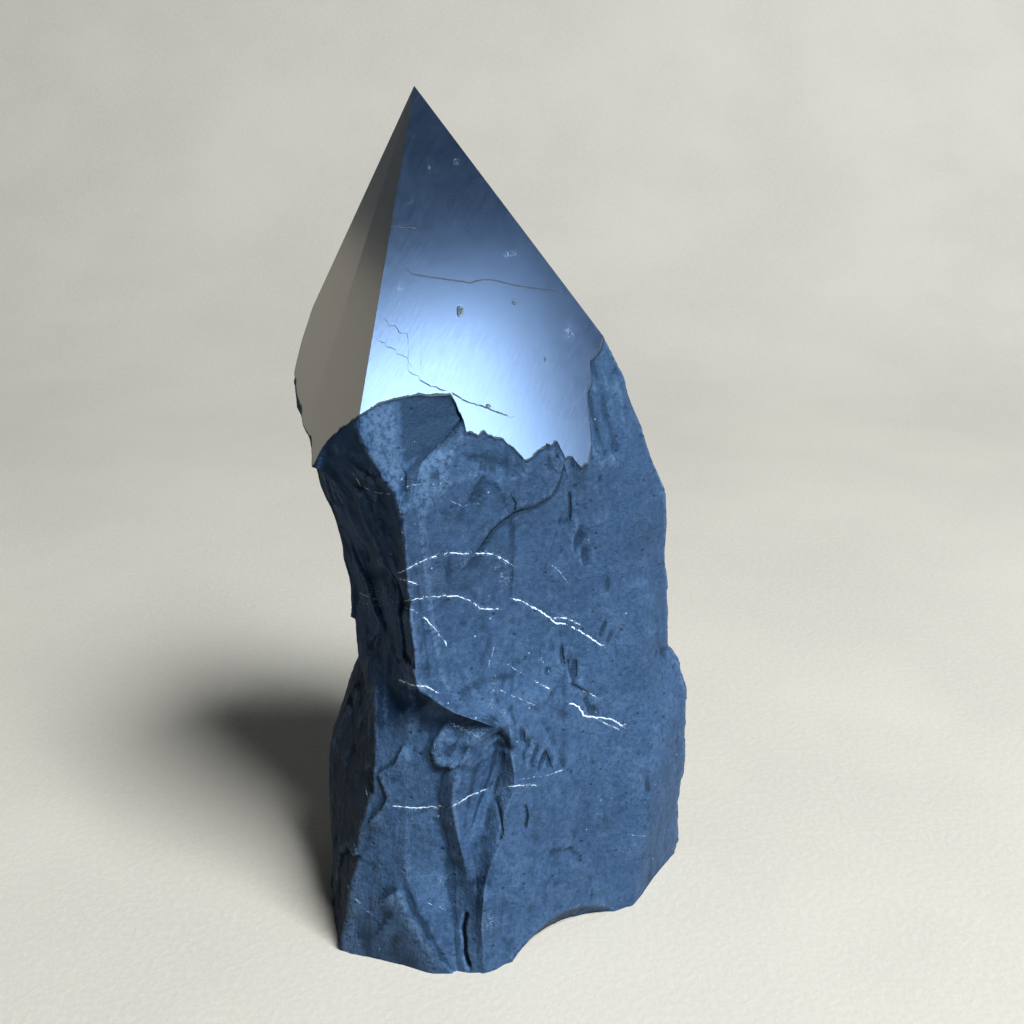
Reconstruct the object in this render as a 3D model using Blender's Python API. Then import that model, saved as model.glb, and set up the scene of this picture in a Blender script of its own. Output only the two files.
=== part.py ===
"""A piece of raw black shungite, broken on all sides, whose upper end is ground to a polished point.

Metres, +Z up. The origin is the middle of the bounding box at the base, and the front faces -Y.
The stone is one solid: a rough block, measured outwards from an upright line inside it, meets the
six flat faces of the point. Lengths below are millimetres, angles are degrees seen from above, 0 along +X.
"""

import bmesh
import bpy
import numpy as np

MM = 0.001

# Driving dimensions: the middle of the box, the line that the block is measured from, and the tip
HEIGHT = 160.0
BOX_MIDDLE = (-0.48, 1.22, 0.0)
SPINE = (-5.0, 2.0)
APEX = (-15.0, 0.0, HEIGHT)

# A point on each edge of the polished point, going round from the left
POINT_EDGES = (
    (-38.3, 4.8, 115.0),
    (-32.2, -9.5, 111.0),
    (-24.0, -25.0, 109.0),
    (18.0, 5.0, 116.0),
    (10.0, 30.0, 105.0),
    (-25.0, 27.0, 105.0),
)
POINT_FLOOR = -20.0

# The block's upright edges, each as (height, x, y) from the top down, going round from the left
BLOCK_EDGES = {
    "left": (
        (126, -33.5, 4), (116, -36.3, 4), (109, -38.8, 4), (103, -38.5, 4), (98, -36.6, 2), (93, -35.4, 0),
        (86, -33, -1), (78, -31, -1), (68, -29.6, -1), (55, -29.4, -1), (50, -29, -1), (46, -30.6, -1),
        (41, -33, -1), (35, -35, -1), (27, -36.4, -1), (15, -37, -2), (0, -37.4, -3),
    ),
    "left_front": (
        (104, -33, -15), (98, -31.6, -13), (90, -28, -12.5), (80, -25, -11.5), (70, -23.8, -12),
        (60, -24, -12.5), (56, -24.8, -14), (52, -24.4, -17.6), (47, -24.2, -19.6), (38, -24.8, -20.9),
        (32, -26.3, -21.2), (25, -28, -21.8), (16, -30.6, -22.4), (8, -31.8, -22.8), (0, -33.2, -22.8),
    ),
    "lap": (
        (111, -30.2, -18.3), (104, -28.8, -18.8), (98, -25.4, -18.2), (90, -22.8, -18), (77, -20.7, -18),
        (68, -19.8, -18.4), (60, -19.5, -19.2), (57, -19, -19), (55, -18.2, -19.3), (52, -17.6, -20.2),
        (48, -17.8, -20.8), (44, -18.4, -21.3), (37, -18.7, -22.4), (29, -18.9, -23.8), (20, -19, -25.2),
        (13, -16.2, -27), (4, -12.6, -28.2), (0, -11.4, -28.8),
    ),
    "scoop": (
        (111, -27, -21.8), (104, -25, -22.2), (98, -21, -21.8), (90, -19.6, -21.6), (77, -18.6, -21.6),
        (68, -17.6, -22.2), (62, -17.1, -22.8), (58.4, -14.6, -22.2), (54.8, -11, -21), (53, -8.4, -20.2),
        (51.2, -5.7, -19.3), (49.6, -6.6, -19.7), (48.4, -8.2, -20.3), (47, -9.4, -20.9), (43, -11, -21.8),
        (40, -12, -22.1), (36, -12.7, -22.4), (32, -12.4, -22.6), (27, -11.4, -22.9), (22, -10.8, -23),
        (17, -10.4, -23.6), (10, -10, -25.2), (4, -9.8, -27), (0, -9.6, -28),
    ),
    "front": (
        (111, -24.4, -24.8), (104, -21.6, -25.2), (98, -17.2, -25), (90, -16.8, -24.2), (77, -17, -24.3),
        (68, -15.8, -25), (62, -15.7, -25.8), (58.4, -12.9, -24.8), (54.8, -9.5, -23.3), (53, -6.9, -22),
        (51.2, -4.2, -20.7), (49.8, -2.2, -19.9), (48.4, -4.8, -21.1), (47, -6.4, -21.9), (43, -8.8, -23.3),
        (40, -9.7, -23.9), (36, -10.2, -24.4), (32, -9.6, -24.5), (27, -8.8, -24.5), (22, -8, -24.2),
        (17, -7.6, -24.6), (10, -7.8, -26.2), (4, -7.7, -27.9), (0, -7.6, -28.8),
    ),
    "shield_rim": (
        (107.4, -6.4, -14.4), (105.6, -9, -16.9), (103.8, -12.2, -19.9), (102, -15.4, -23.2), (98, -16, -24),
        (77, -15, -22.9), (62, -13.4, -24.1), (58.4, -11.6, -23.8), (54.8, -8.6, -22.7), (53, -6.1, -21.5),
        (51.2, -3.4, -20.2), (49.8, -1.6, -19.6), (48.4, -3.2, -19.9), (47, -4.2, -20.2), (43, -5.2, -20.8),
        (40, -6, -21.2), (36, -7, -21.8), (32, -7.6, -22.7), (27, -8, -23.7), (22, -7.1, -23.9),
        (17, -6.6, -24.8), (10, -6.8, -26.5), (4, -6.8, -28.1), (0, -6.8, -28.8),
    ),
    "shield_foot": (
        (107.4, -5.8, -13.2), (105.6, -8.2, -14.7), (103.8, -11, -17.2), (102, -13.8, -20.2),
        (98, -14.6, -22.4), (95, -14.6, -22.8), (77, -13.6, -22), (62, -11.6, -22.8), (58.4, -9.8, -22.4),
        (54.8, -7.2, -21.7), (53, -5.2, -20.9), (51.2, -2.6, -19.7), (49.8, -1, -19.4), (48.4, -1.6, -18.6),
        (47, -1.5, -18.4), (43, -1.8, -18.3), (40, -2.2, -18.4), (36, -3.9, -19.2), (32, -5.6, -20.9),
        (27, -7.2, -22.9), (22, -6.2, -23.7), (17, -5.6, -25.1), (10, -6, -27), (0, -5.9, -28.8),
    ),
    "trough": (
        (103, -2, -13), (94, -2, -13), (70, -1, -13.8), (58, -0.6, -15.2), (54.8, -0.7, -17),
        (53, -0.8, -17.9), (51.2, -0.6, -18.5), (49.8, 0.3, -18.8), (48.4, 0.5, -19), (43, 1, -19.4),
        (39, 1.5, -19.8), (36, 1.5, -20.2), (32, -0.2, -21.9), (27, -0.8, -23.2), (22, -3.1, -25.4),
        (17, -4.4, -26.9), (10, -4.8, -28.1), (0, -4.4, -28.9),
    ),
    "front_face_left": (
        (99, 3.3, -10.4), (85, 4, -9.6), (60, 4, -12), (50, 3.8, -15.4), (43, 3.6, -17.2), (35, 3.6, -18.8),
        (26, 1.4, -21.6), (13, -0.4, -25), (0, -0.6, -27),
    ),
    "front_face_middle": (
        (97, 12, -5.6), (85, 13, -4.2), (60, 13, -6.2), (45, 13.5, -8.8), (30, 13.5, -12), (15, 13.5, -14.8),
        (0, 14, -16),
    ),
    "front_face_right": (
        (108, 19.8, 3), (97, 21.6, 1), (85, 24, 1.4), (70, 25.6, 1), (55, 27, 0), (42, 29, -1),
        (30, 29.6, -3.6), (15, 28.6, -6.4), (0, 26, -9.6),
    ),
    "right": (
        (117, 17.8, 6), (111, 21.2, 6), (106, 22.3, 6), (101, 24, 6), (91, 28, 6), (85, 30.8, 7),
        (80, 31.3, 7), (73, 31, 7), (66, 32.1, 7), (52, 33, 7), (48, 35.2, 7), (42, 36.9, 7), (36, 37, 7),
        (27, 37.4, 7), (21, 38, 8), (13, 37, 8), (0, 37.6, 9),
    ),
    "right_rear": (
        (112, 17.6, 17), (100, 22, 16), (88, 27.6, 15.5), (76, 28.6, 17.5), (64, 30.6, 15), (52, 30, 18),
        (40, 34, 16), (28, 33.4, 18), (14, 35, 15), (0, 33, 17),
    ),
    "back_right": (
        (112, 13, 27), (100, 18, 28), (86, 21, 25.4), (70, 25.6, 27), (58, 24, 25.6), (45, 28.4, 27.4),
        (30, 29, 24.6), (15, 27.4, 27.6), (0, 25, 25),
    ),
    "back_middle": (
        (112, 5, 31), (100, 8, 30.5), (88, 9, 28), (74, 11, 29), (62, 9, 26.6), (48, 11, 29.6), (34, 13, 28),
        (20, 11, 30.5), (8, 12, 29.6), (0, 11, 27.6),
    ),
    "back": (
        (112, -3, 33), (97, -4, 31), (86, -6, 28.4), (72, -4, 29.4), (60, -6.4, 27.4), (46, -3, 30),
        (32, -6, 29.6), (18, -4, 31), (6, -5.6, 30.4), (0, -5, 28.6),
    ),
    "back_left": (
        (112, -30, 26), (97, -31, 24), (84, -26.6, 22), (72, -27, 19), (60, -24.6, 21), (48, -28.6, 20),
        (36, -30, 22.4), (20, -33, 20), (8, -32, 21), (0, -30, 18.6),
    ),
    "left_rear": (
        (112, -36, 16), (100, -36, 15), (90, -32.4, 12), (80, -29, 11), (68, -29.6, 9), (56, -27.4, 12),
        (46, -32, 9.6), (34, -34.6, 11), (20, -36, 9), (8, -35.6, 11), (0, -34, 9),
    ),
}

# Where the polish ends, as (angle, height), once round from the left edge of the point
POLISH_LIMIT = (
    (-184, 123), (-182, 116), (-179, 111.2), (-174, 109), (-166, 107), (-160, 104.7), (-152, 103.6),
    (-148, 101.6), (-145.5, 99.8), (-143.2, 103.3), (-139.7, 105.6), (-137, 106.6), (-134.3, 108),
    (-128.5, 110), (-126.1, 111), (-123.8, 112.2), (-118.6, 112.8), (-115.7, 112.9), (-111.6, 112.1),
    (-104, 111.4), (-100.1, 109.1), (-96.6, 107.4), (-96, 105.6), (-92.2, 104.8), (-83.6, 104.4),
    (-74.6, 103.1), (-67.5, 101.8), (-62.3, 100), (-58.5, 98.7), (-51.3, 99), (-42, 100.1), (-38.2, 100.5),
    (-36, 100), (-32.3, 100.7), (-30.3, 100.1), (-29.8, 97.4), (-24.8, 97.2), (-23.4, 95.3), (-18.2, 96),
    (-14.2, 98.7), (-11.1, 102.7), (-8, 106.4), (-3.5, 109.5), (-0.2, 112.7), (4.2, 114.5), (7.4, 116.5),
    (16, 118.5), (28, 111), (41, 106), (55, 108.5), (72, 101), (90, 104), (104, 98.5), (121, 103),
    (138, 99.5), (152, 106), (165, 110),
)

# Round that line: the reach it is unrolled at, how steeply the stone stands proud above it and drops
# away below it, the most of each, and the least reach of what the point is ground from
LIMIT_REACH = 33.0
LIMIT_RISE = 0.9
LIMIT_FALL = 0.35
MOST_PROUD = 4.0
LIMIT_DEPTH = 1.5
LEAST_REACH = 8.0

# Hollows left where a flake broke away, each part of a ball: its middle and its radius
FLAKE_SCARS = (
    ((21.7, -33.6, -10), 24.2),
    ((48, 51, 78), 39),
    ((-57, 42, 34), 37),
    ((-12, 73, 62), 48),
    ((33.5, 63.5, 27), 41),
)

# Flat breaks: a point on each and the way it faces
FLAT_BREAKS = (
    ((33, 18, 4), (0.62, 0.45, -0.64)),
    ((-20, 29, 3), (-0.30, 0.62, -0.72)),
)

# Shallow bowls all over the broken sides, as (how wide, how deep, seed), and the mean fill of a bowl
BOWLS = ((17.0, 0.9, 3), (7.5, 0.35, 8))
BOWL_MEAN = 0.45

# Mesh: columns between one upright edge and the next, rings, and the height the block is ground down from
STEPS_BETWEEN = (24, 11, 9, 8, 4, 4, 14, 8, 14, 16, 14, 13, 13, 16, 16, 26, 14, 14)
STEPS_ROUND = sum(STEPS_BETWEEN)
STEPS_UP = 170
BLOCK_TOP = 168.0
MOST_TRIANGLES = 9400

SHUNGITE = (0.045, 0.062, 0.085, 1.0)
SHUNGITE_ROUGHNESS = 0.55

# The least outward share of a ray that can be said to leave through a plane
LEAST_LEAVING = 1e-6


def clear_scene():
    for thing in list(bpy.data.objects):
        bpy.data.objects.remove(thing)


def shungite():
    material = bpy.data.materials.new("shungite")
    material.use_nodes = True
    shader = material.node_tree.nodes["Principled BSDF"]
    shader.inputs["Base Color"].default_value = SHUNGITE
    shader.inputs["Roughness"].default_value = SHUNGITE_ROUGHNESS
    shader.inputs["Metallic"].default_value = 0.0
    return material


def point_planes():
    """The six polished faces, each as its unit normal. All pass through the apex."""
    apex = np.array(APEX)
    arms = np.array(POINT_EDGES) - apex
    normals = np.cross(arms, np.roll(arms, -1, axis=0))
    return normals / np.linalg.norm(normals, axis=1)[:, None]


def reach_to_plane(start, way, place, normal):
    """How far along each ray the plane lies, and infinity where the ray never leaves by it."""
    leaving = way @ normal
    gap = (np.asarray(place) - start) @ normal
    return np.where(leaving > LEAST_LEAVING, gap / np.maximum(leaving, LEAST_LEAVING), np.inf)


def reach_to_ball(start, way, middle, radius):
    """How far along each ray a ball starts, and infinity where the ray misses it."""
    towards = np.asarray(middle) - start
    along = (towards * way).sum(-1)
    inside = along**2 - (towards**2).sum(-1) + radius**2
    return np.where((inside > 0) & (along > 0), along - np.sqrt(np.maximum(inside, 0)), np.inf)


def outline(height):
    """The block's outline at each height: points on straight lines between its upright edges.

    Gives the angle and the reach from the spine, with the upright edges always on the same columns."""
    corners = []
    for points in BLOCK_EDGES.values():
        up, x, y = np.array(points, float)[::-1].T
        corners.append(np.stack([np.interp(height, up, x), np.interp(height, up, y)], -1) - SPINE)
    columns = []
    for here, after, steps in zip(corners, corners[1:] + corners[:1], STEPS_BETWEEN):
        share = (np.arange(steps) / steps)[None, :, None]
        columns.append(here[:, None] * (1 - share) + after[:, None] * share)
    place = np.concatenate(columns, 1)
    return np.arctan2(place[..., 1], place[..., 0]), np.hypot(place[..., 0], place[..., 1])


def cell_noise(corner, seed):
    """Three numbers from 0 to 1 for each whole-numbered corner, always the same for the same corner.

    The corner's numbers are multiplied by large primes, mixed bit by bit and stirred three times."""
    x, y, z = np.moveaxis(corner, -1, 0)
    n = (x * 73856093) ^ (y * 19349663) ^ (z * 83492791) ^ (seed * 2654435)
    found = []
    for step in (1, 2, 3):
        n = (n * 1103515245 + 12345 * step) & 0x7FFFFFFF
        n = n ^ (n >> 13)
        found.append((n & 0xFFFF) / 0xFFFF)
    return np.stack(found, -1)


def bowls(place, width, seed):
    """Squared distance to the nearest of many scattered points: 0 in the middle of a bowl, 1 at most."""
    place = place / width
    base = np.floor(place).astype(np.int64)
    nearest = np.ones(place.shape[:-1])
    for offset in np.ndindex(3, 3, 3):
        corner = base + np.array(offset) - 1
        away = ((corner + cell_noise(corner, seed) - place) ** 2).sum(-1)
        nearest = np.minimum(nearest, away)
    return nearest


def limit_distance(angle, height):
    """Distance on the unrolled side to the line where the polish ends, positive on the polished side."""
    turn, rise = np.array(POLISH_LIMIT, float).T
    line = np.radians(turn) * LIMIT_REACH
    once = 2 * np.pi * LIMIT_REACH
    line = np.concatenate([line - once, line, line + once])
    rise = np.tile(rise, 3)
    along = ((angle + np.pi) % (2 * np.pi) - np.pi) * LIMIT_REACH
    nearest = np.full(angle.shape, np.inf)
    for i in range(len(line) - 1):
        du = line[i + 1] - line[i]
        dv = rise[i + 1] - rise[i]
        share = ((along - line[i]) * du + (height - rise[i]) * dv) / (du * du + dv * dv)
        share = np.clip(share, 0, 1)
        gap = np.hypot(along - line[i] - share * du, height - rise[i] - share * dv)
        nearest = np.minimum(nearest, gap)
    return np.where(height > np.interp(along, line, rise), nearest, -nearest)


def block_reach(angle, height, reach):
    """How far the stone reaches from its spine at these angles (radians) and heights.

    It starts from the outline's reach. Scars, breaks and bowls take stone off the broken sides. The point's
    six faces are then met exactly at the limit of the polish: the block stands proud of them above it, for
    the faces to cut, and drops away from them below it."""
    start = np.stack([np.full(angle.shape, SPINE[0]), np.full(angle.shape, SPINE[1]), height], -1)
    way = np.stack([np.cos(angle), np.sin(angle), np.zeros(angle.shape)], -1)
    for middle, radius in FLAKE_SCARS:
        reach = np.minimum(reach, reach_to_ball(start, way, middle, radius))
    for place, normal in FLAT_BREAKS:
        reach = np.minimum(reach, reach_to_plane(start, way, place, np.array(normal)))
    for width, depth, seed in BOWLS:
        place = start + way * reach[..., None]
        reach = reach + depth * (bowls(place, width, seed) - BOWL_MEAN)
    polished = np.full(angle.shape, np.inf)
    for normal in point_planes():
        polished = np.minimum(polished, reach_to_plane(start, way, APEX, normal))
    past = limit_distance(angle, height)
    proud = np.maximum(polished, 0) + np.minimum(LIMIT_RISE * past, MOST_PROUD)
    kept = np.minimum(reach, polished - np.minimum(-LIMIT_FALL * past, LIMIT_DEPTH))
    return np.where(past > 0, np.maximum(proud, LEAST_REACH), kept)


def rough_block():
    """A closed grid of rings round the spine, with a flat cap at each end."""
    height = np.linspace(0, BLOCK_TOP, STEPS_UP + 1)
    around, straight = outline(height)
    up = np.broadcast_to(height[:, None], around.shape)
    reach = block_reach(around, up, straight)
    x = SPINE[0] + reach * np.cos(around)
    y = SPINE[1] + reach * np.sin(around)
    points = (np.stack([x, y, up], -1).reshape(-1, 3) - BOX_MIDDLE) * MM
    ring = np.arange(STEPS_ROUND)
    after = (ring + 1) % STEPS_ROUND
    faces = []
    for level in range(STEPS_UP):
        low = level * STEPS_ROUND
        high = low + STEPS_ROUND
        faces.extend(np.stack([low + ring, low + after, high + after, high + ring], -1).tolist())
    faces.append(ring[::-1].tolist())
    faces.append((STEPS_UP * STEPS_ROUND + ring).tolist())
    mesh = bpy.data.meshes.new("shungite_rock")
    mesh.from_pydata(points.tolist(), [], faces)
    block = bpy.data.objects.new("shungite_rock", mesh)
    bpy.context.collection.objects.link(block)
    return block


def point_guide():
    """The solid that the point is ground from: six flat faces from the apex down past the base."""
    apex = np.array(APEX)
    arms = np.array(POINT_EDGES) - apex
    feet = apex + arms * ((POINT_FLOOR - apex[2]) / arms[:, 2])[:, None]
    mesh = bpy.data.meshes.new("point_guide")
    bm = bmesh.new()
    tip = bm.verts.new((apex - BOX_MIDDLE) * MM)
    ring = [bm.verts.new((foot - BOX_MIDDLE) * MM) for foot in feet]
    for i in range(len(ring)):
        bm.faces.new((tip, ring[i], ring[(i + 1) % len(ring)]))
    bm.faces.new(ring[::-1])
    bmesh.ops.recalc_face_normals(bm, faces=bm.faces)
    bm.to_mesh(mesh)
    bm.free()
    guide = bpy.data.objects.new("point_guide", mesh)
    bpy.context.collection.objects.link(guide)
    guide.hide_render = True
    guide.display_type = "WIRE"
    return guide


def main():
    clear_scene()
    rock = rough_block()
    rock.data.materials.append(shungite())
    thin = rock.modifiers.new("fewer_faces", "DECIMATE")
    thin.ratio = MOST_TRIANGLES / (2 * STEPS_ROUND * STEPS_UP)
    ground = rock.modifiers.new("polished_point", "BOOLEAN")
    ground.operation = "INTERSECT"
    ground.solver = "EXACT"
    ground.object = point_guide()


main()
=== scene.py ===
# %% [markdown]
# # A raw shungite tower with a polished point
#
# The object is one natural stone. Black shungite breaks into rough blocks with flat faces, scooped hollows
# and thin pale veins, and the upper end of this one has been ground to six flat faces that meet in a tip.
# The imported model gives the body, the box and the place of everything. This script makes the same stone
# again with a much finer surface and gives it its finish.

import math

import bpy
import numpy as np
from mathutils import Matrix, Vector


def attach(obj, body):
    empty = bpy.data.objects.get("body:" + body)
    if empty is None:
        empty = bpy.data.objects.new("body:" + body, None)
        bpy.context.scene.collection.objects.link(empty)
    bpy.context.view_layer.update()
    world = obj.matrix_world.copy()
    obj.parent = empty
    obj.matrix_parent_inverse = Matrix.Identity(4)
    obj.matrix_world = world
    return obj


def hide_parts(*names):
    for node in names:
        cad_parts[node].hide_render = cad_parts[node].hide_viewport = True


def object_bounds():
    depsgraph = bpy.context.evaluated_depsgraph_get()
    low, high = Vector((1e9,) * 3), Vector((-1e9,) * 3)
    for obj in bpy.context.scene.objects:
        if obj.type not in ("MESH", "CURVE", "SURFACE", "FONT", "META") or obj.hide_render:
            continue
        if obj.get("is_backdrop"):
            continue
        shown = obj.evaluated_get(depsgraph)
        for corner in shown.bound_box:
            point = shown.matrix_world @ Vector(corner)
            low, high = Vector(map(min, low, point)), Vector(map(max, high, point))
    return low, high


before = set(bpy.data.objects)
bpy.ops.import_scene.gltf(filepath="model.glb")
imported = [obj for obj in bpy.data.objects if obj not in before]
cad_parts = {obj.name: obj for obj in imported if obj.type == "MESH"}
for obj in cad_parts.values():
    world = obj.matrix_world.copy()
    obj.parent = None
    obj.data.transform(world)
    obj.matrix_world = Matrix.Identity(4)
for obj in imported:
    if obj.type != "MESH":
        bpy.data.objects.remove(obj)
CAD_LOW, CAD_HIGH = (np.array(corner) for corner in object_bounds())
print("nodes:", sorted(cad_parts), "box in mm:", (CAD_HIGH - CAD_LOW).round(4) * 1000)

# %% [markdown]
# ## The stone's own measures
#
# A stone has no drawing, so its shape is held by a few upright edges: lines that run down the block where
# two broken faces meet. Between them the faces are nearly flat. The tip and a point on each edge of the
# polished end fix its six planes. All of it is in millimetres, as in the solid, so that both stones agree.

# %% Measures
MM = 0.001
BOX_MIDDLE = np.array((-0.48, 1.22, 0.0))
SPINE = np.array((-5.0, 2.0))
APEX = np.array((-15.0, 0.0, 160.0))

# A place on each edge between two polished faces, once round
POINT_EDGES = np.array((
    (-38.3, 4.8, 115.0),
    (-32.2, -9.5, 111.0),
    (-24.0, -25.0, 109.0),
    (18.0, 5.0, 116.0),
    (10.0, 30.0, 105.0),
    (-25.0, 27.0, 105.0),
))

# Each upright edge from the top down, as (height, x, y), once round from the left
BLOCK_EDGES = {
    "left": (
        (126, -33.5, 4), (116, -36.3, 4), (109, -38.8, 4), (103, -38.5, 4), (98, -36.6, 2), (93, -35.4, 0),
        (86, -33, -1), (78, -31, -1), (68, -29.6, -1), (55, -29.4, -1), (50, -29, -1), (46, -30.6, -1),
        (41, -33, -1), (35, -35, -1), (27, -36.4, -1), (15, -37, -2), (0, -37.4, -3),
    ),
    "left_front": (
        (104, -33, -15), (98, -31.6, -13), (90, -28, -12.5), (80, -25, -11.5), (70, -23.8, -12),
        (60, -24, -12.5), (56, -24.8, -14), (52, -24.4, -17.6), (47, -24.2, -19.6), (38, -24.8, -20.9),
        (32, -26.3, -21.2), (25, -28, -21.8), (16, -30.6, -22.4), (8, -31.8, -22.8), (0, -33.2, -22.8),
    ),
    "lap": (
        (111, -30.2, -18.3), (104, -28.8, -18.8), (98, -25.4, -18.2), (90, -22.8, -18), (77, -20.7, -18),
        (68, -19.8, -18.4), (60, -19.5, -19.2), (57, -19, -19), (55, -18.2, -19.3), (52, -17.6, -20.2),
        (48, -17.8, -20.8), (44, -18.4, -21.3), (37, -18.7, -22.4), (29, -18.9, -23.8), (20, -19, -25.2),
        (13, -16.2, -27), (4, -12.6, -28.2), (0, -11.4, -28.8),
    ),
    "scoop": (
        (111, -27, -21.8), (104, -25, -22.2), (98, -21, -21.8), (90, -19.6, -21.6), (77, -18.6, -21.6),
        (68, -17.6, -22.2), (62, -17.1, -22.8), (58.4, -14.6, -22.2), (54.8, -11, -21), (53, -8.4, -20.2),
        (51.2, -5.7, -19.3), (49.6, -6.6, -19.7), (48.4, -8.2, -20.3), (47, -9.4, -20.9), (43, -11, -21.8),
        (40, -12, -22.1), (36, -12.7, -22.4), (32, -12.4, -22.6), (27, -11.4, -22.9), (22, -10.8, -23),
        (17, -10.4, -23.6), (10, -10, -25.2), (4, -9.8, -27), (0, -9.6, -28),
    ),
    "front": (
        (111, -24.4, -24.8), (104, -21.6, -25.2), (98, -17.2, -25), (90, -16.8, -24.2), (77, -17, -24.3),
        (68, -15.8, -25), (62, -15.7, -25.8), (58.4, -12.9, -24.8), (54.8, -9.5, -23.3), (53, -6.9, -22),
        (51.2, -4.2, -20.7), (49.8, -2.2, -19.9), (48.4, -4.8, -21.1), (47, -6.4, -21.9), (43, -8.8, -23.3),
        (40, -9.7, -23.9), (36, -10.2, -24.4), (32, -9.6, -24.5), (27, -8.8, -24.5), (22, -8, -24.2),
        (17, -7.6, -24.6), (10, -7.8, -26.2), (4, -7.7, -27.9), (0, -7.6, -28.8),
    ),
    "shield_rim": (
        (107.4, -6.4, -14.4), (105.6, -9, -16.9), (103.8, -12.2, -19.9), (102, -15.4, -23.2), (98, -16, -24),
        (77, -15, -22.9), (62, -13.4, -24.1), (58.4, -11.6, -23.8), (54.8, -8.6, -22.7), (53, -6.1, -21.5),
        (51.2, -3.4, -20.2), (49.8, -1.6, -19.6), (48.4, -3.2, -19.9), (47, -4.2, -20.2), (43, -5.2, -20.8),
        (40, -6, -21.2), (36, -7, -21.8), (32, -7.6, -22.7), (27, -8, -23.7), (22, -7.1, -23.9),
        (17, -6.6, -24.8), (10, -6.8, -26.5), (4, -6.8, -28.1), (0, -6.8, -28.8),
    ),
    "shield_foot": (
        (107.4, -5.8, -13.2), (105.6, -8.2, -14.7), (103.8, -11, -17.2), (102, -13.8, -20.2),
        (98, -14.6, -22.4), (95, -14.6, -22.8), (77, -13.6, -22), (62, -11.6, -22.8), (58.4, -9.8, -22.4),
        (54.8, -7.2, -21.7), (53, -5.2, -20.9), (51.2, -2.6, -19.7), (49.8, -1, -19.4), (48.4, -1.6, -18.6),
        (47, -1.5, -18.4), (43, -1.8, -18.3), (40, -2.2, -18.4), (36, -3.9, -19.2), (32, -5.6, -20.9),
        (27, -7.2, -22.9), (22, -6.2, -23.7), (17, -5.6, -25.1), (10, -6, -27), (0, -5.9, -28.8),
    ),
    "trough": (
        (103, -2, -13), (94, -2, -13), (70, -1, -13.8), (58, -0.6, -15.2), (54.8, -0.7, -17),
        (53, -0.8, -17.9), (51.2, -0.6, -18.5), (49.8, 0.3, -18.8), (48.4, 0.5, -19), (43, 1, -19.4),
        (39, 1.5, -19.8), (36, 1.5, -20.2), (32, -0.2, -21.9), (27, -0.8, -23.2), (22, -3.1, -25.4),
        (17, -4.4, -26.9), (10, -4.8, -28.1), (0, -4.4, -28.9),
    ),
    "front_face_left": (
        (99, 3.3, -10.4), (85, 4, -9.6), (60, 4, -12), (50, 3.8, -15.4), (43, 3.6, -17.2), (35, 3.6, -18.8),
        (26, 1.4, -21.6), (13, -0.4, -25), (0, -0.6, -27),
    ),
    "front_face_middle": (
        (97, 12, -5.6), (85, 13, -4.2), (60, 13, -6.2), (45, 13.5, -8.8), (30, 13.5, -12), (15, 13.5, -14.8),
        (0, 14, -16),
    ),
    "front_face_right": (
        (108, 19.8, 3), (97, 21.6, 1), (85, 24, 1.4), (70, 25.6, 1), (55, 27, 0), (42, 29, -1),
        (30, 29.6, -3.6), (15, 28.6, -6.4), (0, 26, -9.6),
    ),
    "right": (
        (117, 17.8, 6), (111, 21.2, 6), (106, 22.3, 6), (101, 24, 6), (91, 28, 6), (85, 30.8, 7),
        (80, 31.3, 7), (73, 31, 7), (66, 32.1, 7), (52, 33, 7), (48, 35.2, 7), (42, 36.9, 7), (36, 37, 7),
        (27, 37.4, 7), (21, 38, 8), (13, 37, 8), (0, 37.6, 9),
    ),
    "right_rear": (
        (112, 17.6, 17), (100, 22, 16), (88, 27.6, 15.5), (76, 28.6, 17.5), (64, 30.6, 15), (52, 30, 18),
        (40, 34, 16), (28, 33.4, 18), (14, 35, 15), (0, 33, 17),
    ),
    "back_right": (
        (112, 13, 27), (100, 18, 28), (86, 21, 25.4), (70, 25.6, 27), (58, 24, 25.6), (45, 28.4, 27.4),
        (30, 29, 24.6), (15, 27.4, 27.6), (0, 25, 25),
    ),
    "back_middle": (
        (112, 5, 31), (100, 8, 30.5), (88, 9, 28), (74, 11, 29), (62, 9, 26.6), (48, 11, 29.6), (34, 13, 28),
        (20, 11, 30.5), (8, 12, 29.6), (0, 11, 27.6),
    ),
    "back": (
        (112, -3, 33), (97, -4, 31), (86, -6, 28.4), (72, -4, 29.4), (60, -6.4, 27.4), (46, -3, 30),
        (32, -6, 29.6), (18, -4, 31), (6, -5.6, 30.4), (0, -5, 28.6),
    ),
    "back_left": (
        (112, -30, 26), (97, -31, 24), (84, -26.6, 22), (72, -27, 19), (60, -24.6, 21), (48, -28.6, 20),
        (36, -30, 22.4), (20, -33, 20), (8, -32, 21), (0, -30, 18.6),
    ),
    "left_rear": (
        (112, -36, 16), (100, -36, 15), (90, -32.4, 12), (80, -29, 11), (68, -29.6, 9), (56, -27.4, 12),
        (46, -32, 9.6), (34, -34.6, 11), (20, -36, 9), (8, -35.6, 11), (0, -34, 9),
    ),
}

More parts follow.
